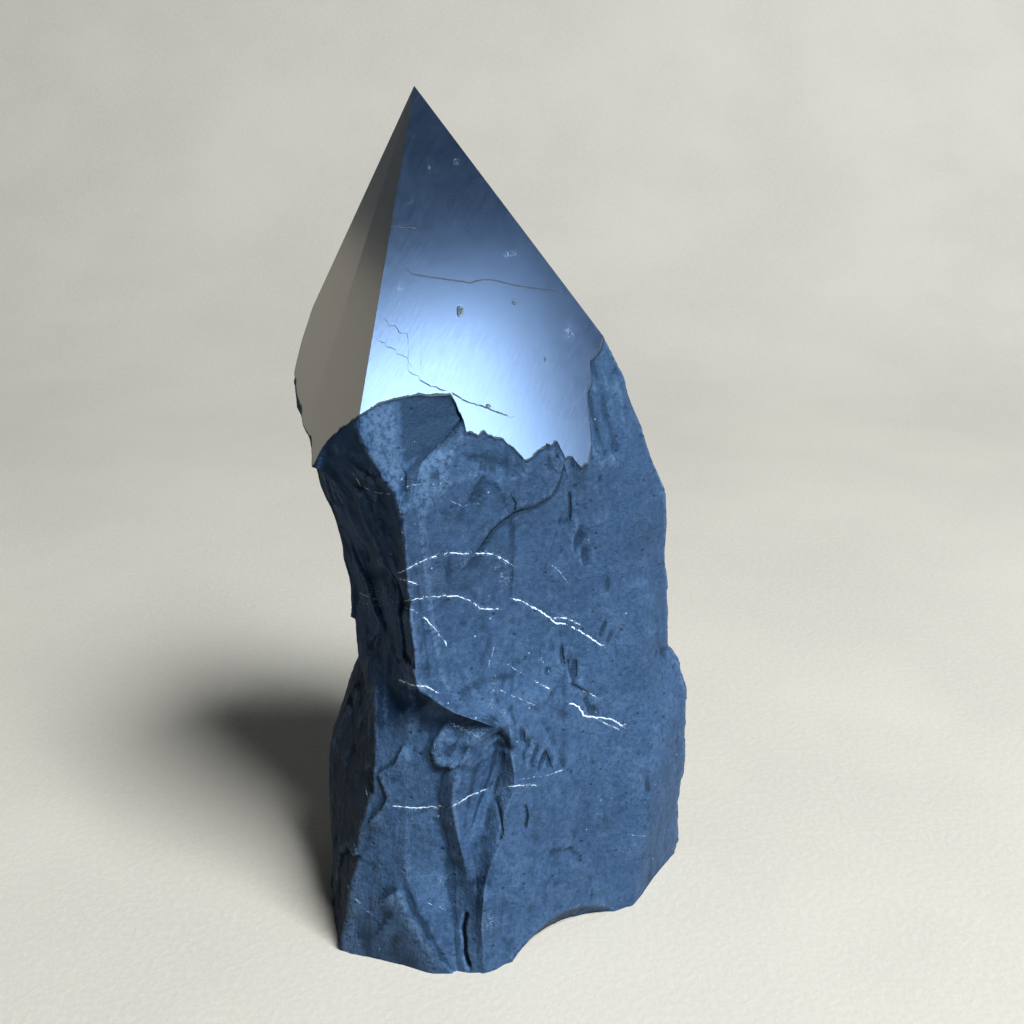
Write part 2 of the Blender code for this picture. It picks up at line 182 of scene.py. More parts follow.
# Where the polish ends, as (angle seen from above in degrees, height), once round
POLISH_LIMIT = (
    (-184, 123), (-182, 116), (-179, 111.2), (-174, 109), (-166, 107), (-160, 104.7), (-152, 103.6),
    (-148, 101.6), (-145.5, 99.8), (-143.2, 103.3), (-139.7, 105.6), (-137, 106.6), (-134.3, 108),
    (-128.5, 110), (-126.1, 111), (-123.8, 112.2), (-118.6, 112.8), (-115.7, 112.9), (-111.6, 112.1),
    (-104, 111.4), (-100.1, 109.1), (-96.6, 107.4), (-96, 105.6), (-92.2, 104.8), (-83.6, 104.4),
    (-74.6, 103.1), (-67.5, 101.8), (-62.3, 100), (-58.5, 98.7), (-51.3, 99), (-42, 100.1), (-38.2, 100.5),
    (-36, 100), (-32.3, 100.7), (-30.3, 100.1), (-29.8, 97.4), (-24.8, 97.2), (-23.4, 95.3), (-18.2, 96),
    (-14.2, 98.7), (-11.1, 102.7), (-8, 106.4), (-3.5, 109.5), (-0.2, 112.7), (4.2, 114.5), (7.4, 116.5),
    (16, 118.5), (28, 111), (41, 106), (55, 108.5), (72, 101), (90, 104), (104, 98.5), (121, 103),
    (138, 99.5), (152, 106), (165, 110),
)
LIMIT_REACH = 33.0
LIMIT_FALL = 0.35
LIMIT_DEPTH = 1.5

# Each scar is the middle and radius of a ball, each flat break a place and its outward normal, and each
# size of bowls its width, depth and seed
FLAKE_SCARS = (
    ((21.7, -33.6, -10), 24.2),
    ((48, 51, 78), 39),
    ((-57, 42, 34), 37),
    ((-12, 73, 62), 48),
    ((33.5, 63.5, 27), 41),
)
FLAT_BREAKS = (
    ((33, 18, 4), (0.62, 0.45, -0.64)),
    ((-20, 29, 3), (-0.30, 0.62, -0.72)),
)
BOWLS = ((17.0, 0.9, 3), (7.5, 0.35, 8))
BOWL_MEAN = 0.45
print(len(BLOCK_EDGES), "upright edges,", len(POLISH_LIMIT), "points on the limit of the polish")

# %% [markdown]
# ## The camera
#
# It stands where the photograph was taken from: in front, about 24 cm from the middle of the stone and
# looking 23 degrees down. It comes first because small marks are easiest to place as they are seen. `seen`
# turns a place on the stone into its position in the picture, by dividing the sideways and upward distances
# by the depth.

# %% Camera
PICTURE = 1024
FOCAL = 1250.0
LOOK_DOWN = math.radians(23.0)
CAMERA = np.array((1.0, -215.5, 175.7))
SENSOR = 36.0
NEAREST_SEEN = 0.01

camera_data = bpy.data.cameras.new("camera")
camera_data.sensor_width = SENSOR
camera_data.lens = FOCAL / PICTURE * SENSOR
camera_data.clip_start = NEAREST_SEEN
camera = bpy.data.objects.new("camera", camera_data)
camera.location = Vector((CAMERA - BOX_MIDDLE) * MM)
camera.rotation_euler = (math.pi / 2 - LOOK_DOWN, 0.0, 0.0)
bpy.context.scene.collection.objects.link(camera)
bpy.context.scene.camera = camera


def seen(place):
    """Where places (mm) are in the picture, in pixels from its top left, and how many pixels a mm takes.

    Each pixel distance is the focal length times the sideways or upward distance, divided by the depth."""
    away = place - CAMERA
    depth = away[..., 1] * math.cos(LOOK_DOWN) - away[..., 2] * math.sin(LOOK_DOWN)
    rise = away[..., 1] * math.sin(LOOK_DOWN) + away[..., 2] * math.cos(LOOK_DOWN)
    centre = PICTURE / 2
    return centre + FOCAL * away[..., 0] / depth, centre - FOCAL * rise / depth, FOCAL / depth


print("the tip is seen at", [round(float(v), 1) for v in seen(APEX)])

# %% [markdown]
# ## Chance that repeats
#
# Breaks and grain look random, but the stone has to be the same each time. Each corner of a grid of cells
# gets numbers from its own whole-numbered place, so nothing is drawn and the order never matters. Three
# patterns come from them: soft noise, bowls round scattered points, and small tilted chips.

# %% Noise
CORNER_PRIMES = (73856093, 19349663, 83492791)
SEED_STRIDE = 2654435
STIR = 1103515245
STIR_STEP = 12345
KEPT_BITS = 0x7FFFFFFF
LAST_BITS = 0xFFFF
CHIP_STEP = 0.35
TILT_SEED = 50


def cell_noise(corner, seed):
    """Three numbers from 0 to 1 for each whole-numbered corner, always the same for the same corner.

    The corner's numbers are multiplied by large primes, mixed bit by bit and stirred three times."""
    x, y, z = np.moveaxis(corner, -1, 0)
    n = (x * CORNER_PRIMES[0]) ^ (y * CORNER_PRIMES[1]) ^ (z * CORNER_PRIMES[2]) ^ (seed * SEED_STRIDE)
    found = []
    for step in (1, 2, 3):
        n = (n * STIR + STIR_STEP * step) & KEPT_BITS
        n = n ^ (n >> 13)
        found.append((n & LAST_BITS) / LAST_BITS)
    return np.stack(found, -1)


def soft_noise(place, width, seed):
    """Smooth noise from -1 to 1: the corner values of each cell, blended by 3t^2 - 2t^3 along each axis."""
    place = place / width
    base = np.floor(place).astype(np.int64)
    share = place - base
    share = share * share * (3 - 2 * share)
    total = 0
    for offset in np.ndindex(2, 2, 2):
        weight = np.prod(np.where(np.array(offset) == 1, share, 1 - share), -1)
        total = total + weight * cell_noise(base + np.array(offset), seed)[..., 0]
    return 2 * total - 1


def bowls(place, width, seed):
    """Squared distance to the nearest of many scattered points: 0 in the middle of a bowl, 1 at most."""
    place = place / width
    base = np.floor(place).astype(np.int64)
    nearest = np.ones(place.shape[:-1])
    for offset in np.ndindex(3, 3, 3):
        corner = base + np.array(offset) - 1
        away = ((corner + cell_noise(corner, seed) - place) ** 2).sum(-1)
        nearest = np.minimum(nearest, away)
    return nearest


def chips(place, width, seed):
    """Small flat facets that step at their borders: the nearest scattered point gives each its own tilt,
    and the height is how far the place lies along that tilt, plus a step of its own. About -1 to 1."""
    place = place / width
    base = np.floor(place).astype(np.int64)
    nearest = np.full(place.shape[:-1], np.inf)
    height = np.zeros(place.shape[:-1])
    for offset in np.ndindex(3, 3, 3):
        corner = base + np.array(offset) - 1
        middle = corner + cell_noise(corner, seed)
        away = ((middle - place) ** 2).sum(-1)
        tilt = cell_noise(corner, seed + TILT_SEED) * 2 - 1
        slope = ((place - middle) * tilt).sum(-1) + CHIP_STEP * tilt[..., 0]
        height = np.where(away < nearest, slope, height)
        nearest = np.minimum(nearest, away)
    return height


def ease(value, low, high):
    """0 below low, 1 above high and 3t^2 - 2t^3 between; high may be the smaller."""
    share = np.clip((value - low) / (high - low), 0, 1)
    return share * share * (3 - 2 * share)


def waves(place, sizes):
    """The sum of soft noise of some sizes, each given as its width and height in mm and its seed."""
    return sum(height * soft_noise(place, width, seed) for width, height, seed in sizes)


print("noise at one place:", round(float(soft_noise(np.array([1.2, 3.4, 5.6]), 2.0, 1)), 3))

# %% [markdown]
# ## The grid of the stone
#
# The surface is a function of two parameters: a column, which says how far round the stone, and a row,
# which says how far up. Columns follow the upright edges, so an edge never cuts across a face of the mesh.
# The columns are closer together at the front, where the photograph shows the stone. Each column of raw
# stone stops exactly on the line where the polish starts, so that the line is an edge of the mesh too.

# %% Columns and rows
COLUMNS_BETWEEN = (40, 18, 14, 12, 6, 9, 22, 15, 26, 32, 22, 16, 14, 22, 20, 32, 15, 22)
COLUMNS = sum(COLUMNS_BETWEEN)
RAW_ROWS = 212
POINT_ROWS = 62
EDGE_COLUMN = dict(zip(BLOCK_EDGES, np.cumsum((0,) + COLUMNS_BETWEEN[:-1]).tolist()))
# The raggedness of the limit, as width and height in mm and seed
RAGGED_WAVE = (1.9, 0.34, 21)
RAGGED_CHIP = (0.9, 0.20, 22)
LIMIT_GUESS = 105.0
SETTLE_TIMES = 40


def within_half_turn(angle):
    """The same angle, between minus half a turn and half a turn."""
    return (angle + np.pi) % (2 * np.pi) - np.pi


def outline(height):
    """The angle and the reach from the spine of the block's outline, at a height for each row and column.

    A column keeps its share of the straight line between two neighbouring upright edges at every height."""
    edges = [np.array(points, float)[::-1].T for points in BLOCK_EDGES.values()]
    found = []
    start = 0
    for here, after, steps in zip(edges, edges[1:] + edges[:1], COLUMNS_BETWEEN):
        up = height[:, start:start + steps]
        share = np.arange(steps) / steps
        ends = [np.stack([np.interp(up, e[0], e[1]), np.interp(up, e[0], e[2])], -1) for e in (here, after)]
        found.append(ends[0] * (1 - share)[:, None] + ends[1] * share[:, None] - SPINE)
        start += steps
    place = np.concatenate(found, 1)
    return np.arctan2(place[..., 1], place[..., 0]), np.hypot(place[..., 0], place[..., 1])


def limit_line():
    """The limit of the polish as (along, rise) in mm on the unrolled side, repeated before and after."""
    turn, rise = np.array(POLISH_LIMIT, float).T
    line = np.radians(turn) * LIMIT_REACH
    once = 2 * np.pi * LIMIT_REACH
    return np.concatenate([line - once, line, line + once]), np.tile(rise, 3)


def limit_height(angle):
    """The height of the limit of the polish at an angle, with a fine raggedness of under half a mm."""
    along = within_half_turn(angle) * LIMIT_REACH
    on_line = np.stack([along, along * 0, along * 0], -1)
    width, rise, seed = RAGGED_CHIP
    fine = waves(on_line, (RAGGED_WAVE,)) + rise * chips(on_line, width, seed)
    return np.interp(along, *limit_line()) + fine


def limit_distance(angle, height):
    """Distance on the unrolled side to the limit of the polish, positive on the polished side.

    Each piece of the line gives the gap to its nearest point, and the smallest gap counts."""
    line, rise = limit_line()
    along = within_half_turn(angle) * LIMIT_REACH
    nearest = np.full(angle.shape, np.inf)
    for u, v, du, dv in zip(line, rise, np.diff(line), np.diff(rise)):
        share = ((along - u) * du + (height - v) * dv) / (du * du + dv * dv)
        share = np.clip(share, 0, 1)
        gap = np.hypot(along - u - share * du, height - v - share * dv)
        nearest = np.minimum(nearest, gap)
    return np.where(height > np.interp(along, line, rise), nearest, -nearest)


def settled(top, angle_at):
    """The height at which each column meets the limit of the polish: each time closes half of the gap."""
    for _ in range(SETTLE_TIMES):
        top = top + 0.5 * (limit_height(angle_at(top)) - top)
    return top


tops = settled(np.full((1, COLUMNS), LIMIT_GUESS), lambda top: outline(top)[0])
print(COLUMNS, "columns; raw stone up to", tops.min().round(1), "to", tops.max().round(1), "mm")

# %% [markdown]
# ## The planes of the point
#
# Grinding leaves flat faces, so here nothing is guessed: all six planes pass through the tip, and each
# through two neighbouring edges. A ray from the spine leaves the stone by the nearest of them.

# %% Planes
SKIMMING = 1e-6


def point_planes():
    """The unit normals of the six polished faces: each the cross product of the arms to two edges."""
    arms = POINT_EDGES - APEX
    normals = np.cross(arms, np.roll(arms, -1, axis=0))
    return normals / np.linalg.norm(normals, axis=1)[:, None]


def reach_to_plane(start, way, place, normal):
    """How far along each ray the plane lies, and infinity where the ray never leaves by it: the gap to
    the plane along its normal, divided by how much of the ray goes that way."""
    leaving = way @ normal
    gap = (np.asarray(place) - start) @ normal
    return np.where(leaving > SKIMMING, gap / np.maximum(leaving, SKIMMING), np.inf)


def reach_to_ball(start, way, middle, radius):
    """How far along each ray a ball starts, and infinity where the ray misses it: the smaller root of
    the quadratic for the places on the ray that lie a radius from the middle."""
    towards = np.asarray(middle) - start
    along = (towards * way).sum(-1)
    inside = along**2 - (towards**2).sum(-1) + radius**2
    return np.where((inside > 0) & (along > 0), along - np.sqrt(np.maximum(inside, 0)), np.inf)


def rays(middle, angle, height):
    """Where each ray starts on an upright line, and the level way that it goes."""
    start = np.stack([np.full(angle.shape, middle[0]), np.full(angle.shape, middle[1]), height], -1)
    return start, np.stack([np.cos(angle), np.sin(angle), np.zeros(angle.shape)], -1)


def reached(start, way, reach):
    """The place at a reach along each ray."""
    return start + way * reach[..., None]


def polished_reach(start, way):
    """How far the ground point reaches, which is to the nearest of its planes, and which plane that is."""
    reach = np.stack([reach_to_plane(start, way, APEX, normal) for normal in point_planes()])
    return reach.min(0), reach.argmin(0)


def angle_round(middle, place):
    """The angle of a place seen from above, round an upright line through the middle."""
    return np.arctan2(place[..., 1] - middle[1], place[..., 0] - middle[0])


print("normals of the polished faces:", point_planes().round(2).tolist())

# %% [markdown]
# ## The line where raw stone and polish meet
#
# Every column of the point is a straight line from this line to the tip, so seen from above the columns
# have to stay in order round the tip. Where the line drops steeply they would cross, and a crossing shows
# as a dark crease on the polish. So the columns are first put in order, then the nearest one is turned
# onto each edge of the point, and only then is the height of the line looked up. The turn fades out down
# the raw stone. The edges of the point then run along columns and stay perfectly sharp.

# %% Put the columns in order
FADE_ROWS = 16
SPREAD = 7
EVENING = 0.05


def in_order(angle):
    """Angles that always grow from column to column: the mean of the largest so far and the smallest to
    come, spread over a few neighbours, and a small share of an even fan so that no two are the same."""
    turning = np.unwrap(angle)
    spare = 3 * SPREAD
    wide = np.concatenate([turning[-spare:] - 2 * np.pi, turning, turning[:spare] + 2 * np.pi])
    level = (np.maximum.accumulate(wide) + np.minimum.accumulate(wide[::-1])[::-1]) / 2
    level = np.convolve(level, np.ones(SPREAD) / SPREAD, "same")[spare:-spare]
    even = np.arange(len(level)) * 2 * np.pi / len(level)
    even = even + (level - even).mean()
    return level * (1 - EVENING) + even * EVENING


def turned_onto(angle, edges):
    """The angles with the nearest column turned onto each edge and half of the turn given to its
    neighbours, and those columns."""
    angle = angle.copy()
    columns = []
    for edge in edges:
        gap = within_half_turn(edge - angle)
        column = int(np.abs(gap).argmin())
        turn = gap[column]
        angle[column] += turn
        for beside in (-1, 1):
            angle[(column + beside) % len(angle)] += turn / 2
        columns.append(column)
    return angle, columns


def on_point(angle, height):
    """Places on the polished faces, at an angle round the tip seen from above and at a height."""
    start, way = rays(APEX, angle, height)
    return reached(start, way, polished_reach(start, way)[0])


start, way = rays(SPINE, outline(tops)[0], tops)
first_guess = reached(start, way, polished_reach(start, way)[0])
fan, ridge_columns = turned_onto(
    in_order(angle_round(APEX, first_guess)[0]), angle_round(APEX, POINT_EDGES)
)
tops = settled(tops[0], lambda top: angle_round(SPINE, on_point(fan, top)))
limit_places = on_point(fan, tops)
height = np.linspace(0, 1, RAW_ROWS + 1)[:, None] * tops
around, straight = outline(height)
turn = within_half_turn(angle_round(SPINE, limit_places) - around[-1])
around = around + ease(np.arange(RAW_ROWS + 1), RAW_ROWS - FADE_ROWS, RAW_ROWS)[:, None] * turn
start, way = rays(SPINE, around, height)
polished = polished_reach(start, way)[0]
point_face = polished_reach(*rays(APEX, fan, tops))[1]
print("columns of the point's edges:", ridge_columns)
print("largest turn in degrees:", np.degrees(np.abs(turn).max()).round(1))

# %% [markdown]
# ## The broken faces
#
# First the large forms, just as in the solid: scars scooped out like parts of a ball, flat breaks, and
# shallow bowls. The front broke along smooth planes, so the bowls are fainter there. `calm` is 1 on the
# front: between the front edge and the right edge, and further down from the left front edge on.
# A last mask is 1 on the left side, which is rough and streaked upright; there the colour is darkened as
# painted shade, for the side that faces away from the light.

# %% Large forms
CALM_BOWLS = 0.55
LEDGE_HEIGHTS = (48, 60)
ALL_COLUMNS = np.broadcast_to(np.arange(COLUMNS), height.shape)
LEFT_BORDER = np.interp(height, LEDGE_HEIGHTS, (EDGE_COLUMN["left_front"] + 1, EDGE_COLUMN["front"]))


def front_calm():
    """1 on the front and 0 elsewhere, by the column: it rises over three columns at the left border, which
    moves with height, and falls over eight columns round the right edge."""
    return ease(ALL_COLUMNS - LEFT_BORDER, -2, 1) * ease(EDGE_COLUMN["right"] + 4 - ALL_COLUMNS, 0, 8)


def shaded_left_flank():
    """1 on the left side and 0 on the front, the right and the back, by the column: where painted shade
    darkens the colour.
    """
    behind = ease(ALL_COLUMNS, EDGE_COLUMN["back"], EDGE_COLUMN["left_rear"])
    return np.maximum(ease(ALL_COLUMNS - LEFT_BORDER, 1, -2), behind)


def broken_reach(reach, past):
    """The reach with scars, breaks and bowls taken off, kept under the polished planes near their limit."""
    for middle, radius in FLAKE_SCARS:
        reach = np.minimum(reach, reach_to_ball(start, way, middle, radius))
    for place, normal in FLAT_BREAKS:
        reach = np.minimum(reach, reach_to_plane(start, way, place, np.array(normal)))
    for width, depth, seed in BOWLS:
        place = reached(start, way, reach)
        reach = reach + depth * (bowls(place, width, seed) - BOWL_MEAN) * (1 - CALM_BOWLS * calm)
    return np.minimum(reach, polished - np.minimum(-LIMIT_FALL * past, LIMIT_DEPTH))


# Edges whose kink is rounded, each from a height up
EVEN_EDGES = (("trough", 60), ("front_face_left", 0), ("front_face_middle", 0), ("front_face_right", 0))
EVEN_REACH = 9
EVEN_CORE = 2
EVEN_START = 6


def evened(reach):
    """The reach with faint kinks of the front face rounded: near them each column takes the mean of its
    neighbours, as the face bends there without an edge."""
    turns = range(-EVEN_REACH, EVEN_REACH + 1)
    mean = sum(np.roll(reach, shift, 1) for shift in turns) / len(turns)
    near = np.zeros(reach.shape)
    for name, lowest in EVEN_EDGES:
        beside = ease(np.abs(ALL_COLUMNS - EDGE_COLUMN[name]), EVEN_REACH, EVEN_CORE)
        near = np.maximum(near, beside * ease(height, lowest - EVEN_START, lowest))
    return reach + (mean - reach) * near


calm = front_calm()
past = np.minimum(limit_distance(around, height), 0)
reach = broken_reach(evened(straight), past)
print("reach of the raw stone in mm:", reach.min().round(1), "to", reach.max().round(1))

# %% [markdown]
# ## Small breaks
#
# Shungite is glassy and brittle. It breaks in small flat chips with steps between them, a little longer up
# and down than across. They are plain to see on the hidden and left sides and faint on the flat front face,
# which gets a slow swell of its own. Soft noise of about a tenth of a mm keeps every face from being smooth.

# %% Chips
# Chips and waves are given as width and height in mm and seed
CHIPS = ((12.0, 0.90, 31), (5.0, 0.28, 32), (2.2, 0.10, 33))
CHIP_BEND = (6.0, 1.2, 41)
FINE_WAVES = ((2.6, 0.10, 42), (1.1, 0.05, 43))
CALM_SWELL = (9.0, 0.16, 44)
GRAIN_LENGTH = 1.7
CALM_CHIPS = 0.80
CHIP_MARGIN = 2.5


def chipped(place, calm):
    """How far the small breaks stand out, in mm: chips of three sizes, drawn out along the grain and bent
    a little, and waves. Where calm is 1 the stone is flat, the chips are faint and the swell is whole."""
    drawn = place / np.array((1, 1, GRAIN_LENGTH))
    bend = waves(drawn, (CHIP_BEND,))[..., None]
    total = sum(rise * chips(drawn + bend, width, seed) for width, rise, seed in CHIPS)
    return total * (1 - CALM_CHIPS * calm) + waves(place, FINE_WAVES) + waves(place, (CALM_SWELL,)) * calm


place = reached(start, way, reach)
reach = reach + chipped(place, calm) * ease(-past, 0.0, CHIP_MARGIN)
print("chips move the surface by up to", np.abs(chipped(place, calm)).max().round(2), "mm")

# %% [markdown]
# ## Marks that the eye finds first
#
# Some breaks give this stone its face: a lobe that ends in a diagonal step, a thin flake under the front
# face, a slit near the foot, upright pits where grains fell out. They are placed by where they are seen in
# the picture, in pixels, and their depth is in mm. A line's distance is positive on its right hand side.

# %% Marks in the picture


def facing(place):
    """How squarely the stone faces the camera, seen from above: the cosine of the angle between its
    outward way and the line of sight."""
    towards = (CAMERA - place)[..., :2]
    towards = towards / np.linalg.norm(towards, axis=-1)[..., None]
    return (towards * way[..., :2]).sum(-1)


def from_line(line, across, down, scale):
    """Signed distance in mm from a line drawn in the picture, and how far past its ends a place lies.

    Each piece of the line gives the gap to its nearest point, and the side from a cross product."""
    nearest = np.full(across.shape, np.inf)
    side = np.ones(across.shape)
    over = np.zeros(across.shape)
    pieces = list(zip(line[:-1], line[1:]))
    for number, ((x0, y0), (x1, y1)) in enumerate(pieces):
        dx = x1 - x0
        dy = y1 - y0
        length = math.hypot(dx, dy)
        share = ((across - x0) * dx + (down - y0) * dy) / length**2
        held = np.clip(share, 0, 1)
        gap = np.hypot(across - x0 - held * dx, down - y0 - held * dy)
        closer = gap < nearest
        nearest = np.where(closer, gap, nearest)
        side = np.where(closer, np.where(dx * (down - y0) > dy * (across - x0), 1, -1), side)
        before = np.maximum(-share, 0) * (number == 0)
        beyond = np.maximum(share - 1, 0) * (number == len(pieces) - 1)
        over = np.where(closer, (before + beyond) * length, over)
    return side * nearest / scale, over / scale


# The lower edge of the lobe under the polish, and cracks that stand open, as lines in the picture
LOBE_EDGE = (
    (565, 462), (560, 480), (551, 497), (535, 506), (517, 511), (503, 521), (492, 530), (485, 541),
    (479, 549),
)
OPEN_CRACKS = (
    ((570, 494), (571, 507), (570, 521)),
    ((573, 684), (580, 688), (590, 694)),
    ((498, 802), (500, 812), (502, 822), (503, 831), (501, 840)),
    ((526, 806), (528, 815), (526, 828)),
    ((466, 917), (463, 930), (465, 942), (465, 954), (469, 967)),
)
# Each step is a line, its rise and how far it holds
STEPS = (
    (((450, 766), (441, 766), (436, 763), (432, 751), (434, 740), (440, 731)), 1.0, 4.5),
    (((391, 895), (399, 889), (405, 894), (409, 904), (414, 914), (422, 927), (432, 945), (442, 959),
      (447, 965)), 0.7, 12.0),
    (LOBE_EDGE + ((468, 562),), 0.40, 9.0),
    (((374, 817), (382, 809), (388, 798), (384, 786), (379, 774), (395, 764), (399, 755)), 0.7, 4.0),
    (((419, 690), (412, 668), (410, 640), (404, 622)), 0.35, 2.0),
)
# Each groove is a line, its half width and its depth
GROOVES = (
    (LOBE_EDGE, 0.40, 0.28),
    (OPEN_CRACKS[0], 0.30, 0.50),
    (OPEN_CRACKS[1], 0.40, 0.45),
    (OPEN_CRACKS[2], 0.35, 0.60),
    (OPEN_CRACKS[3], 0.25, 0.35),
    (OPEN_CRACKS[4], 0.36, 1.30),
    (((463, 430), (443, 443), (423, 462), (412, 470), (406, 480), (405, 495)), 0.60, 0.55),
    (((382, 574), (392, 586), (398, 598), (404, 605)), 1.30, 1.10),
    (((493, 739), (500, 735), (507, 742), (511, 752)), 0.50, 0.60),
    (((455, 762), (464, 750), (470, 748)), 0.80, 0.45),
    (((504, 752), (497, 788), (487, 822), (481, 850), (483, 884)), 1.90, 1.40),
)
# Each pit is its place, its half width and half length, its lean in degrees and its depth
PITS = (
    (601, 478, 0.55, 0.55, 0, 0.8), (639, 513, 0.9, 1.4, -20, 0.8), (644, 508, 1.3, 1.5, 0, -0.8),
    (635, 460, 1.1, 2.2, 10, 0.8), (581, 541, 1.1, 2.4, 8, 0.7), (587, 556, 0.8, 1.8, 0, 0.7),
    (608.5, 584, 0.5, 1.7, 0, 0.7), (614, 579, 0.5, 1.5, 5, 0.7), (618.5, 582, 0.4, 1.0, 0, 0.5),
    (604, 628, 0.45, 2.0, 20, 0.5), (610, 637, 0.4, 1.6, 20, 0.45), (564, 656, 0.55, 2.0, -5, 0.7),
    (570, 664, 0.5, 1.8, -5, 0.55), (576, 668, 0.5, 2.2, 0, 0.7), (574, 676, 0.5, 1.5, -15, 0.55),
    (594.6, 711, 1.1, 1.1, 0, 0.7), (588, 703, 0.7, 1.3, -20, 0.45), (548, 671, 0.5, 0.8, 0, 0.4),
    (651, 784, 1.1, 1.9, 0, 1.3), (655, 777, 0.5, 0.9, 0, 0.45), (523, 737, 0.6, 1.6, -8, 0.6),
    (529, 745, 0.5, 1.4, 0, 0.5), (537, 752, 0.6, 1.3, 15, 0.5), (545, 758, 0.6, 1.5, 20, 0.6),
    (550, 762, 0.5, 1.2, 20, 0.55), (533, 762, 0.6, 1.2, 10, 0.4), (541, 766, 0.5, 1.2, 15, 0.45),
    (525, 756, 0.5, 1.4, 5, 0.4), (500, 742, 1.8, 1.7, 0, 0.6), (460, 768, 0.9, 1.7, 25, 0.5),
    (376, 640, 1.6, 4.0, -10, 0.6), (386, 520, 1.3, 6.0, -14, 0.5), (371, 555, 1.2, 4.5, -8, 0.5),
    (395, 545, 0.8, 4.0, -12, 0.5), (350, 500, 1.2, 4.0, -20, 0.5), (416, 812, 2.4, 3.0, 20, 0.3),
    (458, 888, 3.0, 6.5, -14, 0.9),
)
STEP_FOOT = -0.15
STEP_TOP = 0.2
STEP_CREST = 0.6
STEP_END = 3.5
GROOVE_END = 0.8
PIT_WALLS = 1.5
LEAST_FACING = 0.2
MARK_MARGIN = (0.2, 1.2)


def steps_and_grooves(across, down, scale):
    """How far the marks stand out in mm: steps that rise within a third of a mm and fade over some mm,
    grooves with the section of a bell curve, and pits with steep walls that lean by some degrees."""
    total = np.zeros(across.shape)
    for line, rise, hold in STEPS:
        away, over = from_line(line, across, down, scale)
        section = ease(away, STEP_FOOT, STEP_TOP) * ease(away, hold, STEP_CREST)
        total += rise * section * ease(over, STEP_END, 0.0)
    for line, width, depth in GROOVES:
        away, over = from_line(line, across, down, scale)
        total -= depth * np.exp(-(away / width) ** 2) * ease(over, GROOVE_END + 2 * width, 0.0)
    for x, y, half_width, half_length, lean, depth in PITS:
        sine = math.sin(math.radians(lean))
        cosine = math.cos(math.radians(lean))
        aside = ((across - x) * cosine + (down - y) * sine) / scale / half_width
        along = ((across - x) * sine - (down - y) * cosine) / scale / half_length
        total -= depth * np.exp(-(aside**2 + along**2) ** PIT_WALLS)
    return total


place = reached(start, way, reach)
in_sight = ease(facing(place), 0.0, LEAST_FACING)
marks = steps_and_grooves(*seen(place)) * in_sight * ease(-past, *MARK_MARGIN)
reach = reach + marks
print("marks reach from", marks.min().round(2), "to", marks.max().round(2), "mm")

# %% [markdown]
# The last few rows of each column swing over to the polished planes and end exactly on them.

# %% Meet the polish exactly
FLARE = 2.0
lift = (polished - reach)[-1]
reach = reach + lift * np.exp(-(tops - height) / FLARE)
raw = reached(start, way, reach)
raw[-1] = limit_places
print("the last row moves out by up to", np.abs(lift).max().round(2), "mm")

# %% [markdown]
# ## Build the mesh
#
# The polished faces are straight lines from each point of the limit to the tip. The foot is one flat
# face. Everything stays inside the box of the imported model, and the edges of the point, the limit of the
# polish and the foot are marked sharp, so that smooth shading doesn't blur them.

# %% Grid and faces


def point_rows(limit):
    """The polished faces as straight lines from each point of the limit to the tip, a grid of rows: each
    row is the limit moved towards the tip by its share of the way."""
    share = (np.arange(1, POINT_ROWS) / POINT_ROWS)[:, None, None]
    return limit * (1 - share) + APEX * share


polish_grid = point_rows(limit_places)
grid = np.concatenate([raw, polish_grid], 0)
rows = len(grid)
points = np.concatenate([grid.reshape(-1, 3), APEX[None]])
points = np.clip((points - BOX_MIDDLE) * MM, CAD_LOW, CAD_HIGH)
ring = np.arange(COLUMNS)
after = (ring + 1) % COLUMNS
low = (np.arange(rows - 1) * COLUMNS)[:, None]
quads = np.stack([low + ring, low + after, low + COLUMNS + after, low + COLUMNS + ring], -1).reshape(-1, 4)
last_ring = (rows - 1) * COLUMNS
tip = np.stack([ring + last_ring, after + last_ring, np.full(COLUMNS, len(points) - 1)], -1)
foot = ring[::-1]
mesh = bpy.data.meshes.new("shungite_stone")
mesh.from_pydata(points.tolist(), [], quads.tolist() + tip.tolist() + [foot.tolist()])
stone = bpy.data.objects.new("shungite_stone", mesh)
bpy.context.scene.collection.objects.link(stone)
is_polished = np.concatenate([
    np.repeat(np.arange(rows - 1) >= RAW_ROWS, COLUMNS),
    np.ones(COLUMNS, bool),
    np.zeros(1, bool),
])
mesh.polygons.foreach_set("material_index", is_polished.astype(np.int32))
mesh.shade_smooth()
print(len(mesh.vertices), "vertices,", 2 * len(quads) + COLUMNS + len(foot) - 2, "triangles")

# %% Sharp edges
ends = np.empty(len(mesh.edges) * 2, np.int32)
mesh.edges.foreach_get("vertices", ends)
ends = ends.reshape(-1, 2)
row_of = ends // COLUMNS
column_of = ends % COLUMNS
both = (row_of[:, 0] != row_of[:, 1]) & (row_of.min(1) >= RAW_ROWS)
first_column = np.where(ends[:, 0] < ends[:, 1], column_of[:, 0], column_of[:, 1])
on_ridge = both & np.isin(first_column, ridge_columns)
on_limit = (row_of == RAW_ROWS).all(1)
on_foot = (row_of == 0).all(1)
sharp = mesh.attributes.new("sharp_edge", "BOOLEAN", "EDGE")
sharp.data.foreach_set("value", on_ridge | on_limit | on_foot)
print(int((on_ridge | on_limit | on_foot).sum()), "sharp edges")

# %% [markdown]
# ## Veins, cracks and wear as numbers on the mesh
#
# White veins and hairline cracks are thinner than the mesh is fine. So each vertex keeps its signed
# distance to the nearest one, and the material draws the line where that number passes through zero. The
# distance grows much faster far from a line and past its ends, which keeps the sign changes there from
# showing. Lines that lie close together go to different sets, because one number can follow only one line.

